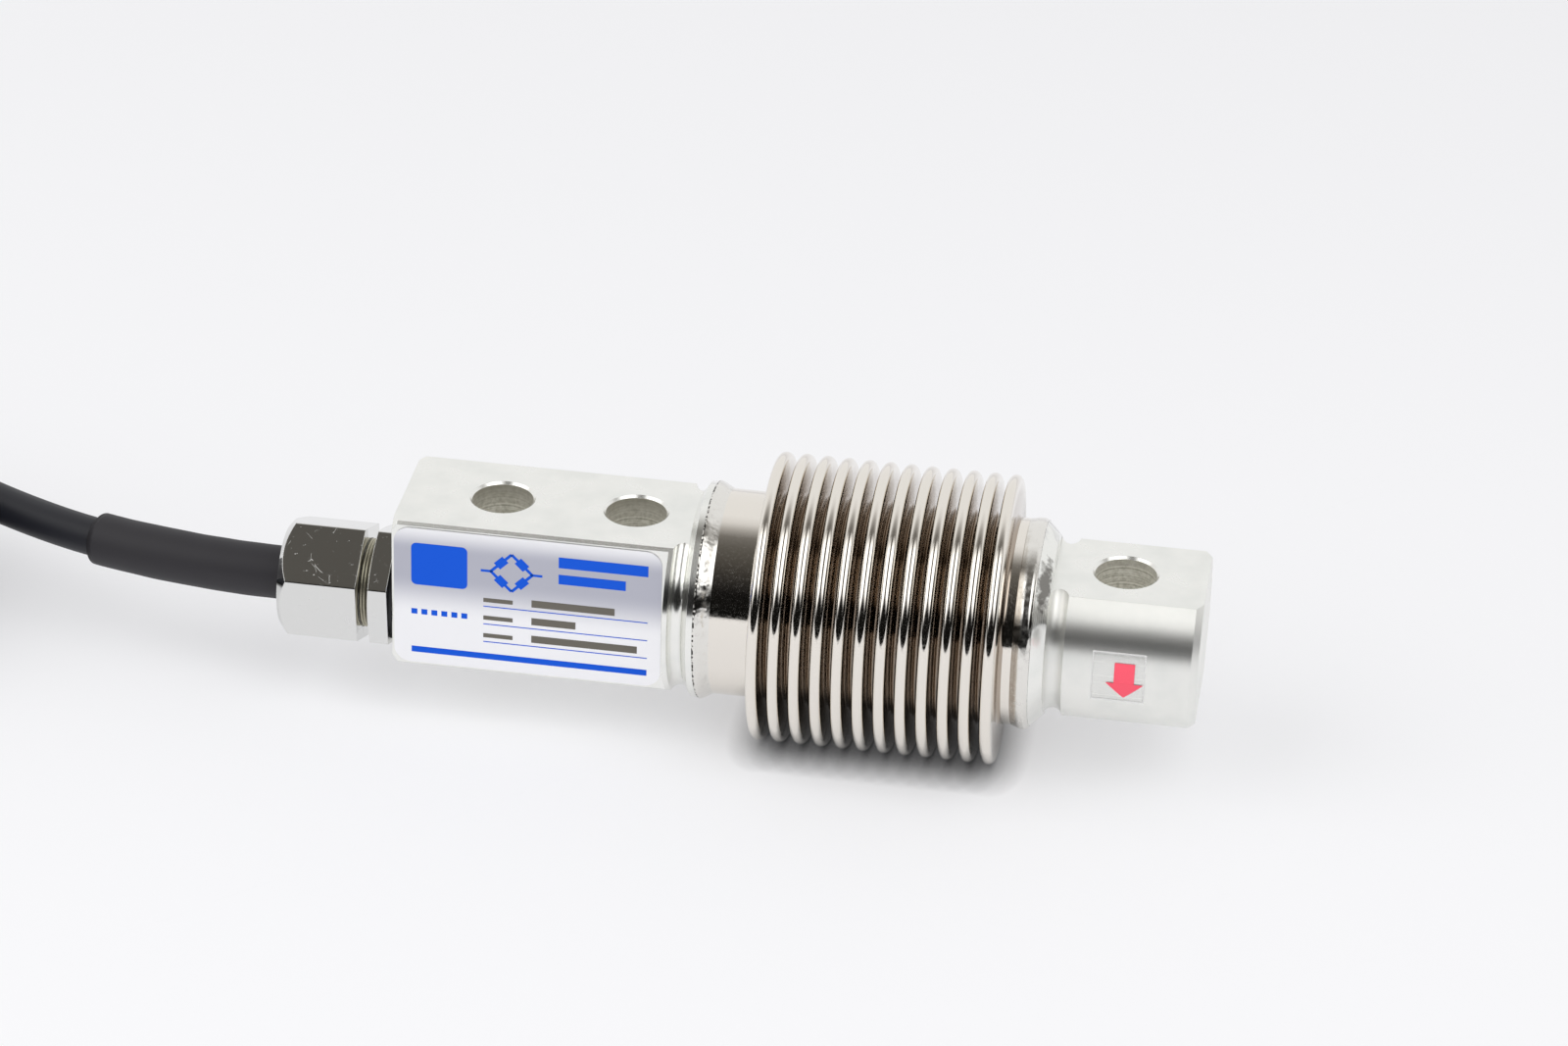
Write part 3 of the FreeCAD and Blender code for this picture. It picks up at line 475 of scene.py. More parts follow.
def nickelMaterial():                     # nickel on milled and turned metal: satin light grey, streaked, with a painted dark reflection on the tinned collar
    material, tree = newMaterial("bodyNickelPlatedSatin")
    at = addNode(tree, "ShaderNodeTexCoord").outputs["Object"]
    parts = addNode(tree, "ShaderNodeSeparateXYZ", {0: at}).outputs
    level = addNode(tree, "ShaderNodeCombineXYZ", {0: parts["X"], 1: parts["Y"]}).outputs[0]
    nearest = None
    for hole in body["holes"]:
        gap = addNode(tree, "ShaderNodeVectorMath", {
            0: level, 1: mm(hole, 0, 0)}, operation="DISTANCE").outputs["Value"]
        nearest = gap if nearest is None else addNode(
            tree, "ShaderNodeMath", {0: nearest, 1: gap}, operation="MINIMUM").outputs[0]
    inBore = addNode(tree, "ShaderNodeMath", {
        0: nearest, 1: body["holeReach"] / 1000}, operation="LESS_THAN").outputs[0]
    onRim = addNode(tree, "ShaderNodeMath", {
        0: nearest, 1: (body["holeReach"] + body["rimReach"]) / 2000,
        2: (body["rimReach"] - body["holeReach"]) / 2000}, operation="COMPARE").outputs[0]
    facing = addNode(tree, "ShaderNodeSeparateXYZ", {
        0: addNode(tree, "ShaderNodeNewGeometry").outputs["Normal"]}).outputs
    rising = addNode(tree, "ShaderNodeMath", {0: facing["Z"]}, operation="ABSOLUTE").outputs[0]
    notFlat = addNode(tree, "ShaderNodeMath", {
        0: rising, 1: body["flatFrom"]}, operation="LESS_THAN").outputs[0]
    pastBlock = addNode(tree, "ShaderNodeMath", {
        0: parts["X"], 1: body["blockEnd"] / 1000}, operation="GREATER_THAN").outputs[0]
    bent = addNode(tree, "ShaderNodeMath", {0: facing["Y"], 1: facing["Z"]}, operation="MULTIPLY").outputs[0]
    corner = addNode(tree, "ShaderNodeMath", {0: bent}, operation="ABSOLUTE").outputs[0]
    onCorner = addNode(tree, "ShaderNodeMath", {
        0: corner, 1: body["cornerFrom"]}, operation="GREATER_THAN").outputs[0]
    beyond = addNode(tree, "ShaderNodeMath", {0: pastBlock, 1: notFlat}, operation="MULTIPLY").outputs[0]
    either = addNode(tree, "ShaderNodeMath", {0: beyond, 1: onCorner}, operation="MAXIMUM").outputs[0]
    outside = addNode(tree, "ShaderNodeMath", {
        0: nearest, 1: body["rimReach"] / 1000}, operation="GREATER_THAN").outputs[0]
    turned = addNode(tree, "ShaderNodeMath", {0: either, 1: outside}, operation="MULTIPLY").outputs[0]
    first, last = mm(*body["tinned"])
    middle = addNode(tree, "ShaderNodeMath", {0: parts["X"], 1: (first + last) / 2, 2: (last - first) / 2},
                     operation="COMPARE").outputs[0]
    cloud = addNode(tree, "ShaderNodeTexNoise", {
        "Vector": at, "Scale": 1000 / body["cloudSize"], "Detail": 3.0}).outputs["Fac"]
    patch = addNode(tree, "ShaderNodeMapRange", {0: cloud, 1: 0.4, 2: 0.7}).outputs[0]
    plating = addNode(tree, "ShaderNodeMix", {
        0: patch, 6: hexColour(body["light"]), 7: hexColour(body["dull"])}, data_type="RGBA").outputs[2]
    stain = addNode(tree, "ShaderNodeTexNoise", {
        "Vector": at, "Scale": 1000 / body["stainSize"], "Detail": 3.0}).outputs["Fac"]
    drilled = addNode(tree, "ShaderNodeTexNoise", {
        "W": parts["Z"], "Scale": 1000 / body["drillSize"], "Detail": 2.0},
        noise_dimensions="1D").outputs["Fac"]
    mixed = addNode(tree, "ShaderNodeMix", {0: 0.5, 2: stain, 3: drilled}).outputs[0]
    stained = addNode(tree, "ShaderNodeMapRange", {0: mixed, 1: 0.4, 2: 0.65}).outputs[0]
    low, high = mm(*body["boreSpan"])
    under = addNode(tree, "ShaderNodeMapRange", {0: parts["Z"], 1: low, 2: high}).outputs[0]
    deep = addNode(tree, "ShaderNodeMix", {
        0: stained, 6: hexColour(body["bore"]), 7: hexColour(body["boreStain"])}, data_type="RGBA").outputs[2]
    wall = addNode(tree, "ShaderNodeMix", {
        0: under, 6: deep, 7: hexColour(body["boreShade"])}, data_type="RGBA").outputs[2]
    clean = addNode(tree, "ShaderNodeMix", {0: inBore, 6: plating, 7: wall}, data_type="RGBA").outputs[2]
    # painted dark reflection: a ragged dark patch on the tinned collar
    aside = addNode(tree, "ShaderNodeVectorMath", {
        0: at, 1: mm(*body["reflectionPatch"])}, operation="SUBTRACT").outputs[0]
    shares = addNode(tree, "ShaderNodeVectorMath", {
        0: aside, 1: mm(*body["reflectionReach"])}, operation="DIVIDE").outputs[0]
    away = addNode(tree, "ShaderNodeVectorMath", {0: shares}, operation="LENGTH").outputs["Value"]
    ragged = addNode(tree, "ShaderNodeTexNoise", {
        "Vector": at, "Scale": 1000 / body["reflectionGrain"], "Detail": 4.0}).outputs["Fac"]
    reach = addNode(tree, "ShaderNodeMath", {
        0: ragged, 1: body["reflectionRagged"], 2: away}, operation="MULTIPLY_ADD").outputs[0]
    inner, outer = body["reflectionFade"]
    reflectionShape = addNode(tree, "ShaderNodeMapRange", {0: reach, 1: inner, 2: outer, 3: 1.0, 4: 0.0}).outputs[0]
    reflectionPatch = addNode(tree, "ShaderNodeMath", {0: reflectionShape, 1: middle}, operation="MULTIPLY").outputs[0]
    colour = addNode(tree, "ShaderNodeMix", {
        0: reflectionPatch, 6: clean, 7: hexColour(body["reflectionDark"])}, data_type="RGBA").outputs[2]
    smoothest, roughest = body["milledRough"]
    milled = addNode(tree, "ShaderNodeMapRange", {
        0: cloud, 1: 0.35, 2: 0.7, 3: smoothest, 4: roughest}).outputs[0]
    rimmed = addNode(tree, "ShaderNodeMix", {0: onRim, 2: milled, 3: body["rimRough"]}).outputs[0]
    bored = addNode(tree, "ShaderNodeMix", {0: inBore, 2: rimmed, 3: body["boreRough"]}).outputs[0]
    start, stop = mm(*body["turnedSpan"])
    fine, coarse = body["turnedRough"]
    tool = addNode(tree, "ShaderNodeMapRange", {
        0: parts["X"], 1: start, 2: stop, 3: fine, 4: coarse}).outputs[0]
    lathe = addNode(tree, "ShaderNodeMix", {0: turned, 2: bored, 3: tool}).outputs[0]
    gloss = addNode(tree, "ShaderNodeMix", {0: middle, 2: lathe, 3: body["tinnedRough"]}).outputs[0]
    streak = addNode(tree, "ShaderNodeMath", {
        0: turned, 1: body["turnedStreak"]}, operation="MULTIPLY").outputs[0]
    lines = addNode(tree, "ShaderNodeTexNoise", {
        "W": parts["X"], "Scale": 1000 / body["lineSize"], "Detail": 3.0},
        noise_dimensions="1D").outputs["Fac"]
    cuts = addNode(tree, "ShaderNodeMath", {0: lines, 1: turned}, operation="MULTIPLY").outputs[0]
    wipe = addNode(tree, "ShaderNodeTexNoise", {
        "Vector": at, "Scale": 1000 / body["wipeSize"], "Detail": 0.0}).outputs["Fac"]
    wiped = addNode(tree, "ShaderNodeMath", {0: wipe, 1: middle}, operation="MULTIPLY").outputs[0]
    grain = addNode(tree, "ShaderNodeTexNoise", {
        "Vector": at, "Scale": 1000 / body["grainSize"], "Detail": 2.0}).outputs["Fac"]
    edge = addNode(tree, "ShaderNodeBevel", {"Radius": body["edgeRound"] / 1000}, samples=4).outputs[0]
    waved = addNode(tree, "ShaderNodeBump", {
        "Height": wiped, "Strength": 1.0, "Distance": body["wipeDepth"] / 1000, "Normal": edge}).outputs[0]
    marked = addNode(tree, "ShaderNodeBump", {
        "Height": cuts, "Strength": 1.0, "Distance": body["lineDepth"] / 1000, "Normal": waved}).outputs[0]
    skin = addNode(tree, "ShaderNodeBump", {
        "Height": grain, "Strength": 0.3, "Distance": body["grainDepth"] / 1000, "Normal": marked}).outputs[0]
    along = addNode(tree, "ShaderNodeCombineXYZ", {0: 1.0}).outputs[0]
    surface = addNode(tree, "ShaderNodeBsdfPrincipled", {
        "Base Color": colour, "Metallic": 1.0, "Roughness": gloss, "Anisotropic": streak, "Tangent": along,
        "Normal": skin})
    finishMaterial(tree, surface)
    return material


# Bellows: where its cuffs and folds lie along the cell, its radii, and how painted shade darkens it from crest
# to root
bellows = {
    "cuffStart": -4.477,
    "start": 2.873,
    "pitch": 3.107,
    "count": 12,
    "cuffEnd": 43.227,
    "bore": 15.05,
    "root": 15.25,
    "crest": 21.4,
    "crestWidth": 1.8,
    "endLip": 0.05,
    "arcSteps": 6,
    "around": 256,
    "light": 20.9,                        # radius below which painted shade darkens the folds, and where it is darkest
    "deepShade": 18.2,
    "bright": "E9E4DC",
    # painted shade: the colour the folds take where they are darkest
    "fold": "ADA194",
    "lineSize": 0.22,
    "lineDepth": 0.004,
    "speckSize": 0.35,
    "rough": (0.07, 0.2),
}


def bellowsMaterial():                    # polished nickel, formed: a warm mirror, darker deep in the folds by painted shade
    material, tree = newMaterial("bellowsNickelPolished")
    at = addNode(tree, "ShaderNodeTexCoord").outputs["Object"]
    parts = addNode(tree, "ShaderNodeSeparateXYZ", {0: at}).outputs
    up = addNode(tree, "ShaderNodeMath", {
        0: parts["Z"], 1: body["axisHeight"] / 1000}, operation="SUBTRACT").outputs[0]
    spoke = addNode(tree, "ShaderNodeCombineXYZ", {1: parts["Y"], 2: up}).outputs[0]
    radius = addNode(tree, "ShaderNodeVectorMath", {0: spoke}, operation="LENGTH").outputs["Value"]
    # painted shade: the colour darkens from crest to root inside the folds
    foldShade = addNode(tree, "ShaderNodeMapRange", {
        0: radius, 1: bellows["light"] / 1000, 2: bellows["deepShade"] / 1000},
        interpolation_type="SMOOTHSTEP").outputs[0]
    half = bellows["count"] * bellows["pitch"] / 2
    folds = addNode(tree, "ShaderNodeMath", {
        0: parts["X"], 1: (bellows["start"] + half) / 1000, 2: half / 1000}, operation="COMPARE").outputs[0]
    deepShade = addNode(tree, "ShaderNodeMath", {0: foldShade, 1: folds}, operation="MULTIPLY").outputs[0]
    colour = addNode(tree, "ShaderNodeMix", {
        0: deepShade, 6: hexColour(bellows["bright"]), 7: hexColour(bellows["fold"])}, data_type="RGBA").outputs[2]
    specks = addNode(tree, "ShaderNodeTexNoise", {
        "Vector": at, "Scale": 1000 / bellows["speckSize"], "Detail": 3.0}).outputs["Fac"]
    polished, dulled = bellows["rough"]
    gloss = addNode(tree, "ShaderNodeMapRange", {
        0: specks, 1: 0.45, 2: 0.8, 3: polished, 4: dulled}).outputs[0]
    across = addNode(tree, "ShaderNodeMath", {0: parts["X"], 1: radius}, operation="ADD").outputs[0]
    lines = addNode(tree, "ShaderNodeTexNoise", {
        "W": across, "Scale": 1000 / bellows["lineSize"], "Detail": 1.0},
        noise_dimensions="1D").outputs["Fac"]
    marks = addNode(tree, "ShaderNodeMath", {0: lines, 1: folds}, operation="MULTIPLY").outputs[0]
    drawn = addNode(tree, "ShaderNodeBump", {
        "Height": marks, "Strength": 1.0, "Distance": bellows["lineDepth"] / 1000}).outputs[0]
    surface = addNode(tree, "ShaderNodeBsdfPrincipled", {
        "Base Color": colour, "Metallic": 1.0, "Roughness": gloss, "Normal": drawn})
    finishMaterial(tree, surface)
    return material


def makeBellows():                        # an outline of round crests and roots, turned about the axis
    lip = bellows["endLip"]
    stop = bellows["start"] + bellows["count"] * bellows["pitch"]
    cuffs = [bellows["cuffStart"], bellows["cuffStart"] + lip, bellows["start"] - lip,
             stop + lip, bellows["cuffEnd"] - lip, bellows["cuffEnd"]]
    outline = [(x, bellows["root"]) for x in cuffs[:3]]
    half = bellows["crestWidth"] / 2
    gap = bellows["pitch"] / 2 - half
    steps = bellows["arcSteps"]

    def addArc(x, height, radius, first, last, count):
        for step in range(count + 1):
            angle = math.radians(first + (last - first) * step / count)
            outline.append((x + radius * math.cos(angle), height + radius * math.sin(angle)))

    for fold in range(bellows["count"]):
        middle = bellows["start"] + (fold + 0.5) * bellows["pitch"]
        addArc(middle - bellows["pitch"] / 2, bellows["root"] + gap, gap, -90, 0, steps)
        addArc(middle, bellows["crest"] - half, half, 180, 0, 2 * steps)
        addArc(middle + bellows["pitch"] / 2, bellows["root"] + gap, gap, 180, 270, steps)
    outline += [(x, bellows["root"]) for x in cuffs[3:]]
    outline += [(bellows["cuffEnd"], bellows["bore"]), (bellows["cuffStart"], bellows["bore"])]
    around = bellows["around"]
    vertices = []
    for x, radius in outline:
        for place in range(around):
            angle = math.tau * place / around
            vertices.append((x, -radius * math.cos(angle), body["axisHeight"] + radius * math.sin(angle)))
    piece = meshPiece("bellowsFolds", vertices, closedRings(len(outline), around), bellowsMaterial())
    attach(piece, "root")
    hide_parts("bellows")


# Gland: its thread shows between nut and head, and its facets are scratched
gland = {
    "light": "DEDEDC",
    "thread": "BDB8A4",
    "threadSpan": (-56.06, -54.39),
    "threadPitch": 1.0,
    "threadDepth": 0.2,
    "threadRough": 0.4,
    "rough": (0.05, 0.42),                # where it is bright, and in scratches and chips
    "scratchSize": 5.0,
    "scratchWidth": 0.01,                 # as a share of that size
    "scratchBend": 0.004,
    "bendSize": 6.0,
    "patchSize": 2.5,
    "chipSize": 0.4,
    "edgeRound": 0.12,
}


def glandMaterial():                      # bright nickel on machined brass: a mirror, scratched and chipped
    material, tree = newMaterial("glandNickelBright")
    at = addNode(tree, "ShaderNodeTexCoord").outputs["Object"]
    parts = addNode(tree, "ShaderNodeSeparateXYZ", {0: at}).outputs
    first, last = mm(*gland["threadSpan"])
    onThread = addNode(tree, "ShaderNodeMath", {
        0: parts["X"], 1: (first + last) / 2, 2: (last - first) / 2}, operation="COMPARE").outputs[0]
    chipNoise = addNode(tree, "ShaderNodeTexNoise", {
        "Vector": at, "Scale": 1000 / gland["chipSize"], "Detail": 4.0}).outputs["Fac"]
    chips = addNode(tree, "ShaderNodeMapRange", {0: chipNoise, 1: 0.69, 2: 0.73}).outputs[0]
    bendNoise = addNode(tree, "ShaderNodeTexNoise", {
        "Vector": at, "Scale": 1000 / gland["bendSize"]}).outputs["Color"]
    bent = addNode(tree, "ShaderNodeMix", {
        0: gland["scratchBend"], 6: at, 7: bendNoise}, data_type="RGBA").outputs[2]
    cells = addNode(tree, "ShaderNodeTexVoronoi", {
        "Vector": bent, "Scale": 1000 / gland["scratchSize"]}, feature="DISTANCE_TO_EDGE").outputs["Distance"]
    thin = addNode(tree, "ShaderNodeMapRange", {
        0: cells, 1: 0.0, 2: gland["scratchWidth"], 3: 1.0, 4: 0.0}).outputs[0]
    where = addNode(tree, "ShaderNodeTexNoise", {
        "Vector": at, "Scale": 1000 / gland["patchSize"], "Detail": 2.0}).outputs["Fac"]
    here = addNode(tree, "ShaderNodeMapRange", {0: where, 1: 0.56, 2: 0.62}).outputs[0]
    scratches = addNode(tree, "ShaderNodeMath", {0: thin, 1: here}, operation="MULTIPLY").outputs[0]
    worn = addNode(tree, "ShaderNodeMath", {0: scratches, 1: chips}, operation="MAXIMUM").outputs[0]
    bright, scratched = gland["rough"]
    gloss = addNode(tree, "ShaderNodeMapRange", {0: worn, 3: bright, 4: scratched}).outputs[0]
    rough = addNode(tree, "ShaderNodeMix", {0: onThread, 2: gloss, 3: gland["threadRough"]}).outputs[0]
    colour = addNode(tree, "ShaderNodeMix", {
        0: onThread, 6: hexColour(gland["light"]), 7: hexColour(gland["thread"])},
        data_type="RGBA").outputs[2]
    edge = addNode(tree, "ShaderNodeBevel", {"Radius": gland["edgeRound"] / 1000}, samples=4).outputs[0]
    turns = addNode(tree, "ShaderNodeMath", {0: parts["X"], 1: math.tau * 1000 / gland["threadPitch"]},
                    operation="MULTIPLY").outputs[0]
    crests = addNode(tree, "ShaderNodeMath", {0: turns}, operation="SINE").outputs[0]
    ridges = addNode(tree, "ShaderNodeMath", {0: crests, 1: onThread}, operation="MULTIPLY").outputs[0]
    threaded = addNode(tree, "ShaderNodeBump", {
        "Height": ridges, "Strength": 1.0, "Distance": gland["threadDepth"] / 1000,
        "Normal": edge}).outputs[0]
    surface = addNode(tree, "ShaderNodeBsdfPrincipled", {
        "Base Color": colour, "Metallic": 1.0, "Roughness": rough, "Normal": threaded})
    finishMaterial(tree, surface)
    return material


def rubberMaterial():                     # moulded rubber: dull black
    material, tree = newMaterial("gasketRubberMoulded")
    surface = addNode(tree, "ShaderNodeBsdfPrincipled", {"Base Color": hexColour("17171A"), "Roughness": 0.7})
    finishMaterial(tree, surface)
    return material


# Nameplate: its place and height in the part's frame; the print counts in mm from its lower left corner
plate = {
    "left": -50.427,
    "low": 10.096,
    "height": 22.608,
    "face": -10.65,
    "reflectionGrey": "BCBDC8",
    "bright": "FAFAFC",
    "ink": "0056D8",
    "greyInk": "6B675F",
    "inkProud": 0.012,
    "reflectionRise": (0.36, 0.66),             # shares of the height between which the grey band of painted reflection comes and goes
    "reflectionFall": (1.02, 0.84),
    "grainSize": 0.15,
    "grainDepth": 0.003,
}


def foilMaterial():                       # rolled silver foil: satin, near white, with a lilac-grey band of painted reflection
    material, tree = newMaterial("nameplateFoilSatin")
    at = addNode(tree, "ShaderNodeTexCoord").outputs["Object"]
    parts = addNode(tree, "ShaderNodeSeparateXYZ", {0: at}).outputs
    # painted reflection: a lilac-grey band across the upper part of the plate
    share = addNode(tree, "ShaderNodeMapRange", {
        0: parts["Z"], 1: plate["low"] / 1000, 2: (plate["low"] + plate["height"]) / 1000}).outputs[0]
    sides = []
    for first, last in (plate["reflectionRise"], plate["reflectionFall"]):
        sides.append(addNode(tree, "ShaderNodeMapRange", {0: share, 1: first, 2: last},
                             interpolation_type="SMOOTHSTEP").outputs[0])
    reflectionBand = addNode(tree, "ShaderNodeMath", {0: sides[0], 1: sides[1]}, operation="MULTIPLY").outputs[0]
    colour = addNode(tree, "ShaderNodeMix", {
        0: reflectionBand, 6: hexColour(plate["bright"]), 7: hexColour(plate["reflectionGrey"])}, data_type="RGBA").outputs[2]
    grain = addNode(tree, "ShaderNodeTexNoise", {
        "Vector": at, "Scale": 1000 / plate["grainSize"], "Detail": 2.0}).outputs["Fac"]
    skin = addNode(tree, "ShaderNodeBump", {
        "Height": grain, "Strength": 0.4, "Distance": plate["grainDepth"] / 1000}).outputs[0]
    surface = addNode(tree, "ShaderNodeBsdfPrincipled", {
        "Base Color": colour, "Metallic": 1.0, "Roughness": 0.36, "Normal": skin})
    finishMaterial(tree, surface)
    return material


def inkMaterial(name, colour):            # screen-printed ink: flat colour with a soft sheen
    material, tree = newMaterial(name)
    surface = addNode(tree, "ShaderNodeBsdfPrincipled", {
        "Base Color": hexColour(colour), "Roughness": 0.45, "Specular IOR Level": 0.2})
    finishMaterial(tree, surface)
    return material


def box(left, low, right, high):
    return [(left, low), (right, low), (right, high), (left, high)]


def roundBox(left, low, right, high, corner):
    outline = []
    for x, z, first in ((right - corner, low + corner, -90), (right - corner, high - corner, 0),
                        (left + corner, high - corner, 90), (left + corner, low + corner, 180)):
        for step in range(7):
            angle = math.radians(first + 15 * step)
            outline.append((x + corner * math.cos(angle), z + corner * math.sin(angle)))
    return outline


def diamondSides(x, z, reach, stroke):    # four bars in a diamond, with a thicker block in the middle of each
    shapes = []
    corners = [(x + reach, z), (x, z + reach), (x - reach, z), (x, z - reach)]
    for first, last in zip(corners, corners[1:] + corners[:1]):
        way = Vector((last[0] - first[0], last[1] - first[1])).normalized()
        side = Vector((-way.y, way.x))
        for start, stop, half in ((0.0, 0.3, stroke / 2), (0.3, 0.7, stroke * 1.5), (0.7, 1.0, stroke / 2)):
            a = Vector(first).lerp(Vector(last), start)
            b = Vector(first).lerp(Vector(last), stop)
            aside = side * half
            shapes.append([tuple(a - aside), tuple(b - aside), tuple(b + aside), tuple(a + aside)])
    return shapes


# Print of the nameplate: a solid panel, a bridge of four bars, ruled fields and a foot band
blueShapes = [roundBox(2.6, 13.2, 11.0, 20.2, 0.8), box(2.6, 1.7, 37.9, 2.7)]
blueShapes += diamondSides(17.6, 16.7, 3.1, 0.45)
blueShapes += [box(13.0, 16.5, 14.5, 16.9), box(20.7, 16.5, 22.2, 16.9)]
blueShapes += [box(24.6, 18.4, 37.9, 20.2), box(24.6, 15.7, 34.6, 17.3)]
blueShapes += [box(13.4, low, 37.9, low + 0.16) for low in (10.6, 7.6, 4.6)]
blueShapes += [box(2.6 + 1.5 * step, 8.2, 3.5 + 1.5 * step, 9.1) for step in range(6)]
greyShapes = [box(20.6, 11.3, 33.0, 12.5), box(20.6, 8.3, 27.2, 9.5), box(20.6, 5.3, 36.4, 6.5)]
greyShapes += [box(13.4, low, 17.8, low + 0.7) for low in (11.4, 8.4, 5.4)]


def makePrint(name, shapes, material):
    face = plate["face"] - plate["inkProud"]
    vertices, faces = [], []
    for shape in shapes:
        faces.append(range(len(vertices), len(vertices) + len(shape)))
        vertices += [(plate["left"] + x, face, plate["low"] + z) for x, z in shape]
    piece = meshPiece(name, vertices, [tuple(row) for row in faces], material)
    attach(piece, "root")


# Arrow on the clear film: places along the cell, and heights up the round from the middle of the front
arrow = {
    "radius": 13.362,
    "shaft": (56.30, 59.26),
    "shaftTop": 2.33,
    "head": (55.11, 60.60),
    "headTop": -0.95,
    "tip": (57.81, -3.56),
    "steps": 12,                          # rows down the shaft, and as many down the head
    "colour": "FF5F73",
    "filmEdge": (0.465, 0.485),           # from the film's middle, in shares of its size, where its edge starts
    "filmCover": (0.1, 0.5),              # how milky it is inside that edge and on it
}


def filmMaterial():                       # clear label film, die-cut: hardly seen but for its milky edges
    material, tree = newMaterial("arrowFilmClear")
    at = addNode(tree, "ShaderNodeTexCoord").outputs["Generated"]
    middle = addNode(tree, "ShaderNodeVectorMath", {
        0: at, 1: (0.5, 0.5, 0.5)}, operation="SUBTRACT").outputs[0]
    reach = addNode(tree, "ShaderNodeVectorMath", {0: middle}, operation="ABSOLUTE").outputs[0]
    parts = addNode(tree, "ShaderNodeSeparateXYZ", {0: reach}).outputs
    outer = addNode(tree, "ShaderNodeMath", {0: parts["X"], 1: parts["Z"]}, operation="MAXIMUM").outputs[0]
    start, stop = arrow["filmEdge"]
    clear, milky = arrow["filmCover"]
    cover = addNode(tree, "ShaderNodeMapRange", {0: outer, 1: start, 2: stop, 3: clear, 4: milky}).outputs[0]
    surface = addNode(tree, "ShaderNodeBsdfPrincipled", {
        "Base Color": hexColour("F4F4F4"), "Roughness": 0.3, "Alpha": cover})
    finishMaterial(tree, surface)
    return material


def makeArrow():
    rows = []
    shares = [step / arrow["steps"] for step in range(arrow["steps"] + 1)]
    for share in shares:
        rows.append((*arrow["shaft"], arrow["shaftTop"] + (arrow["headTop"] - arrow["shaftTop"]) * share))
    for share in shares:
        left = arrow["head"][0] + (arrow["tip"][0] - arrow["head"][0]) * share
        right = arrow["head"][1] + (arrow["tip"][0] - arrow["head"][1]) * share
        rows.append((left, right, arrow["headTop"] + (arrow["tip"][1] - arrow["headTop"]) * share))
    vertices = []
    for left, right, rise in rows:
        angle = rise / arrow["radius"]
        y = -arrow["radius"] * math.cos(angle)
        z = body["axisHeight"] + arrow["radius"] * math.sin(angle)
        vertices += [(left, y, z), (right, y, z)]
    faces = [(2 * row, 2 * row + 2, 2 * row + 3, 2 * row + 1) for row in range(len(rows) - 1)]
    piece = meshPiece("loadArrow", vertices, faces, inkMaterial("arrowInkPrinted", arrow["colour"]))
    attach(piece, "root")


# Solder rings: where each runs along the cell, its seat on the cuff, and how far it stands out from it
solder = {
    "seat": 15.25,
    "fixedSpan": (-5.15, -2.4),
    "fixedRise": 0.97,
    "fixedInside": -4.477,
    "sunk": 0.06,                         # both ends run in under the surface they lie on
    "loadSpan": (41.2, 44.1),
    "loadRise": 0.36,                     # a ramp up the cuff, a level top, and a fall to the collar
    "loadTop": 0.58,
    "loadFall": 0.76,
    "loadSag": 0.4,                       # this much thicker at the bottom and thinner at the top
    "loadUneven": 0.15,                   # share of the fixed ring's unevenness
    "fixedLip": 0.2,                      # share by which the ring is lower at the collar's edge
    "fixedLipWidth": 0.12,
    "around": 720,
    "along": 24,
    "swell": 0.08,
    "swellSize": 1.9,
    "ripple": 0.025,
    "pitDepth": 0.14,
    "pitSize": 0.45,
    "pitPlace": 0.07,                     # a row of pits along the collar's edge, in shares of the width
    "pitWidth": 0.04,
    "fluxPlace": -4.98,                   # burnt flux lies in that row
    "fluxReach": 0.13,
    "flux": "2E2A26",
    "tin": "E6E4DF",
    "skinSize": 1.1,
    "rough": (0.1, 0.34),
}


def solderMaterial():                     # tin solder, flowed and wiped: bright, with a dull skin in places
    material, tree = newMaterial("solderTinFlowed")
    at = addNode(tree, "ShaderNodeTexCoord").outputs["Object"]
    skin = addNode(tree, "ShaderNodeTexNoise", {
        "Vector": at, "Scale": 1000 / solder["skinSize"], "Detail": 4.0}).outputs["Fac"]
    bright, dull = solder["rough"]
    gloss = addNode(tree, "ShaderNodeMapRange", {0: skin, 1: 0.4, 2: 0.75, 3: bright, 4: dull}).outputs[0]
    along = addNode(tree, "ShaderNodeSeparateXYZ", {0: at}).outputs["X"]
    place, reach = mm(solder["fluxPlace"], solder["fluxReach"])
    row = addNode(tree, "ShaderNodeMath", {0: along, 1: place, 2: reach}, operation="COMPARE").outputs[0]
    dots = addNode(tree, "ShaderNodeTexNoise", {
        "Vector": at, "Scale": 1000 / solder["pitSize"], "Detail": 1.0}).outputs["Fac"]
    burnt = addNode(tree, "ShaderNodeMapRange", {0: dots, 1: 0.46, 2: 0.52}).outputs[0]
    flux = addNode(tree, "ShaderNodeMath", {0: row, 1: burnt}, operation="MULTIPLY").outputs[0]
    colour = addNode(tree, "ShaderNodeMix", {
        0: flux, 6: hexColour(solder["tin"]), 7: hexColour(solder["flux"])}, data_type="RGBA").outputs[2]
    surface = addNode(tree, "ShaderNodeBsdfPrincipled", {
        "Base Color": colour, "Metallic": 1.0, "Roughness": gloss})
    finishMaterial(tree, surface)
    return material


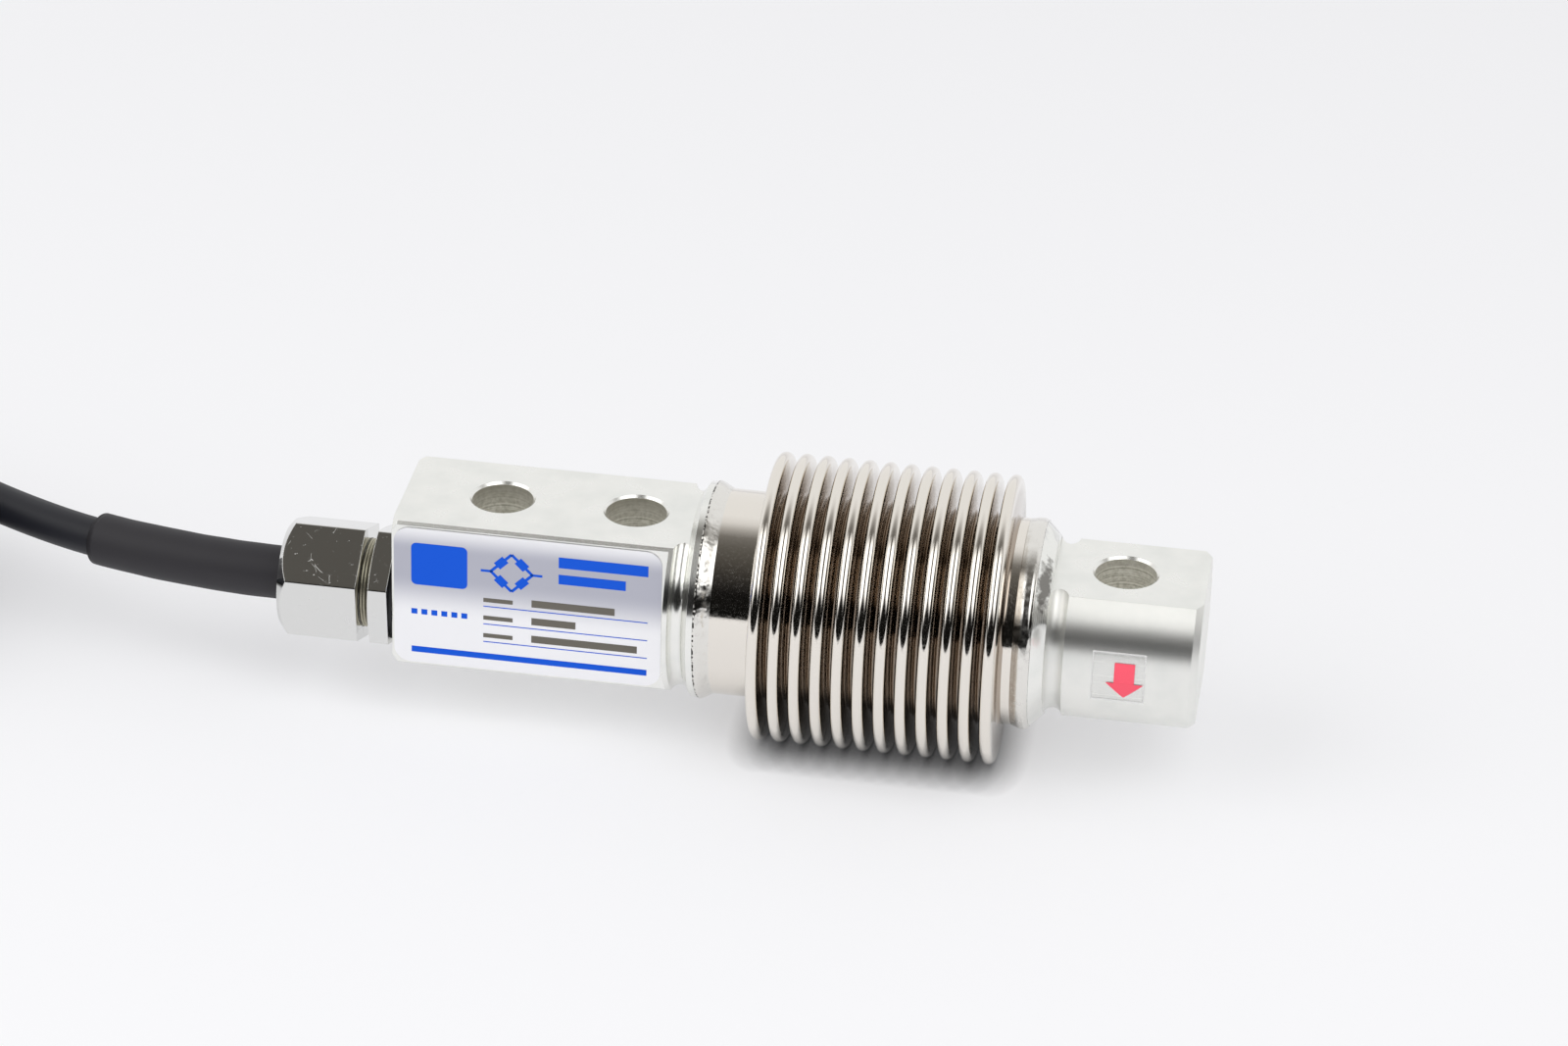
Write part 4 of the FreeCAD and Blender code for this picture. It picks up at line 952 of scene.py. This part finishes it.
def makeBead(name, node, profile, sag, uneven, material):
    vertices = []
    around = solder["around"]
    for x, rise, share in profile:
        for place in range(around):
            angle = math.tau * place / around
            way = Vector((0, -math.cos(angle), math.sin(angle)))
            spot = (way * solder["seat"] + Vector((x, 7.0, 3.0))) / solder["swellSize"]
            bump = solder["swell"] * noise.noise(spot) + solder["ripple"] * noise.noise(spot * 4)
            pit = noise.noise(way * solder["seat"] / solder["pitSize"] + Vector((0, 0, 11.0)))
            seam = math.exp(-((share - solder["pitPlace"]) / solder["pitWidth"]) ** 2)
            bump -= solder["pitDepth"] * seam * smooth(pit * 4 - 0.4)
            bump *= uneven * smooth(rise * 4) * smooth(share * 10)     # even where the ring is thin or ends
            out = solder["seat"] + rise * (1 - sag * way.z) + bump
            vertices.append((x, way.y * out, body["axisHeight"] + way.z * out))
    piece = meshPiece(name, vertices, closedRings(len(profile), around), material)
    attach(piece, "root")
    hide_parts(node)


def makeBeads():
    material = solderMaterial()
    shares = [step / solder["along"] for step in range(solder["along"] + 1)]
    first, last = solder["fixedSpan"]
    fixed = [(solder["fixedInside"], -solder["sunk"], 0.0)]
    for share in shares:                  # up from the collar's edge, over a shoulder, and out on the cuff
        lip = 1 - solder["fixedLip"] * (1 - min(share / solder["fixedLipWidth"], 1)) ** 2
        rise = solder["fixedRise"] * (1 - smooth(share)) * lip - solder["sunk"] * share
        fixed.append((first + (last - first) * share, rise, share))
    makeBead("fixedEndBead", "fixed_end_solder_bead", fixed, 0.0, 1.0, material)
    first, last = solder["loadSpan"]
    load = []
    for share in shares:
        fall = smooth((share - solder["loadFall"]) / (1 - solder["loadFall"]))
        rise = smooth(share / solder["loadTop"]) - fall
        sunk = solder["sunk"] * (1 - smooth(share * 8) + smooth(share * 8 - 7))     # at both ends alone
        load.append((first + (last - first) * share, solder["loadRise"] * rise - sunk, share))
    makeBead("loadEndBead", "load_end_solder_bead", load, solder["loadSag"], solder["loadUneven"], material)


makeCamera()
makeWorld()
makeStage()
print("camera, studio and floor set")
makeCable()
dress(nodes["spring_element"], nickelMaterial())
makeBellows()
glandNickel = glandMaterial()
for name in ("gland_body", "gland_nut"):
    dress(nodes[name], glandNickel)
dress(nodes["gland_gasket"], rubberMaterial())
makeBeads()
print("metal pieces dressed")
dress(nodes["nameplate"], foilMaterial())
makePrint("bluePrint", blueShapes, inkMaterial("inkBluePrinted", plate["ink"]))
makePrint("greyPrint", greyShapes, inkMaterial("inkGreyPrinted", plate["greyInk"]))
dress(nodes["arrow_label"], filmMaterial())
makeArrow()
print("labels printed")

bpy.context.scene.view_settings.view_transform = "Standard"
bpy.context.view_layer.update()
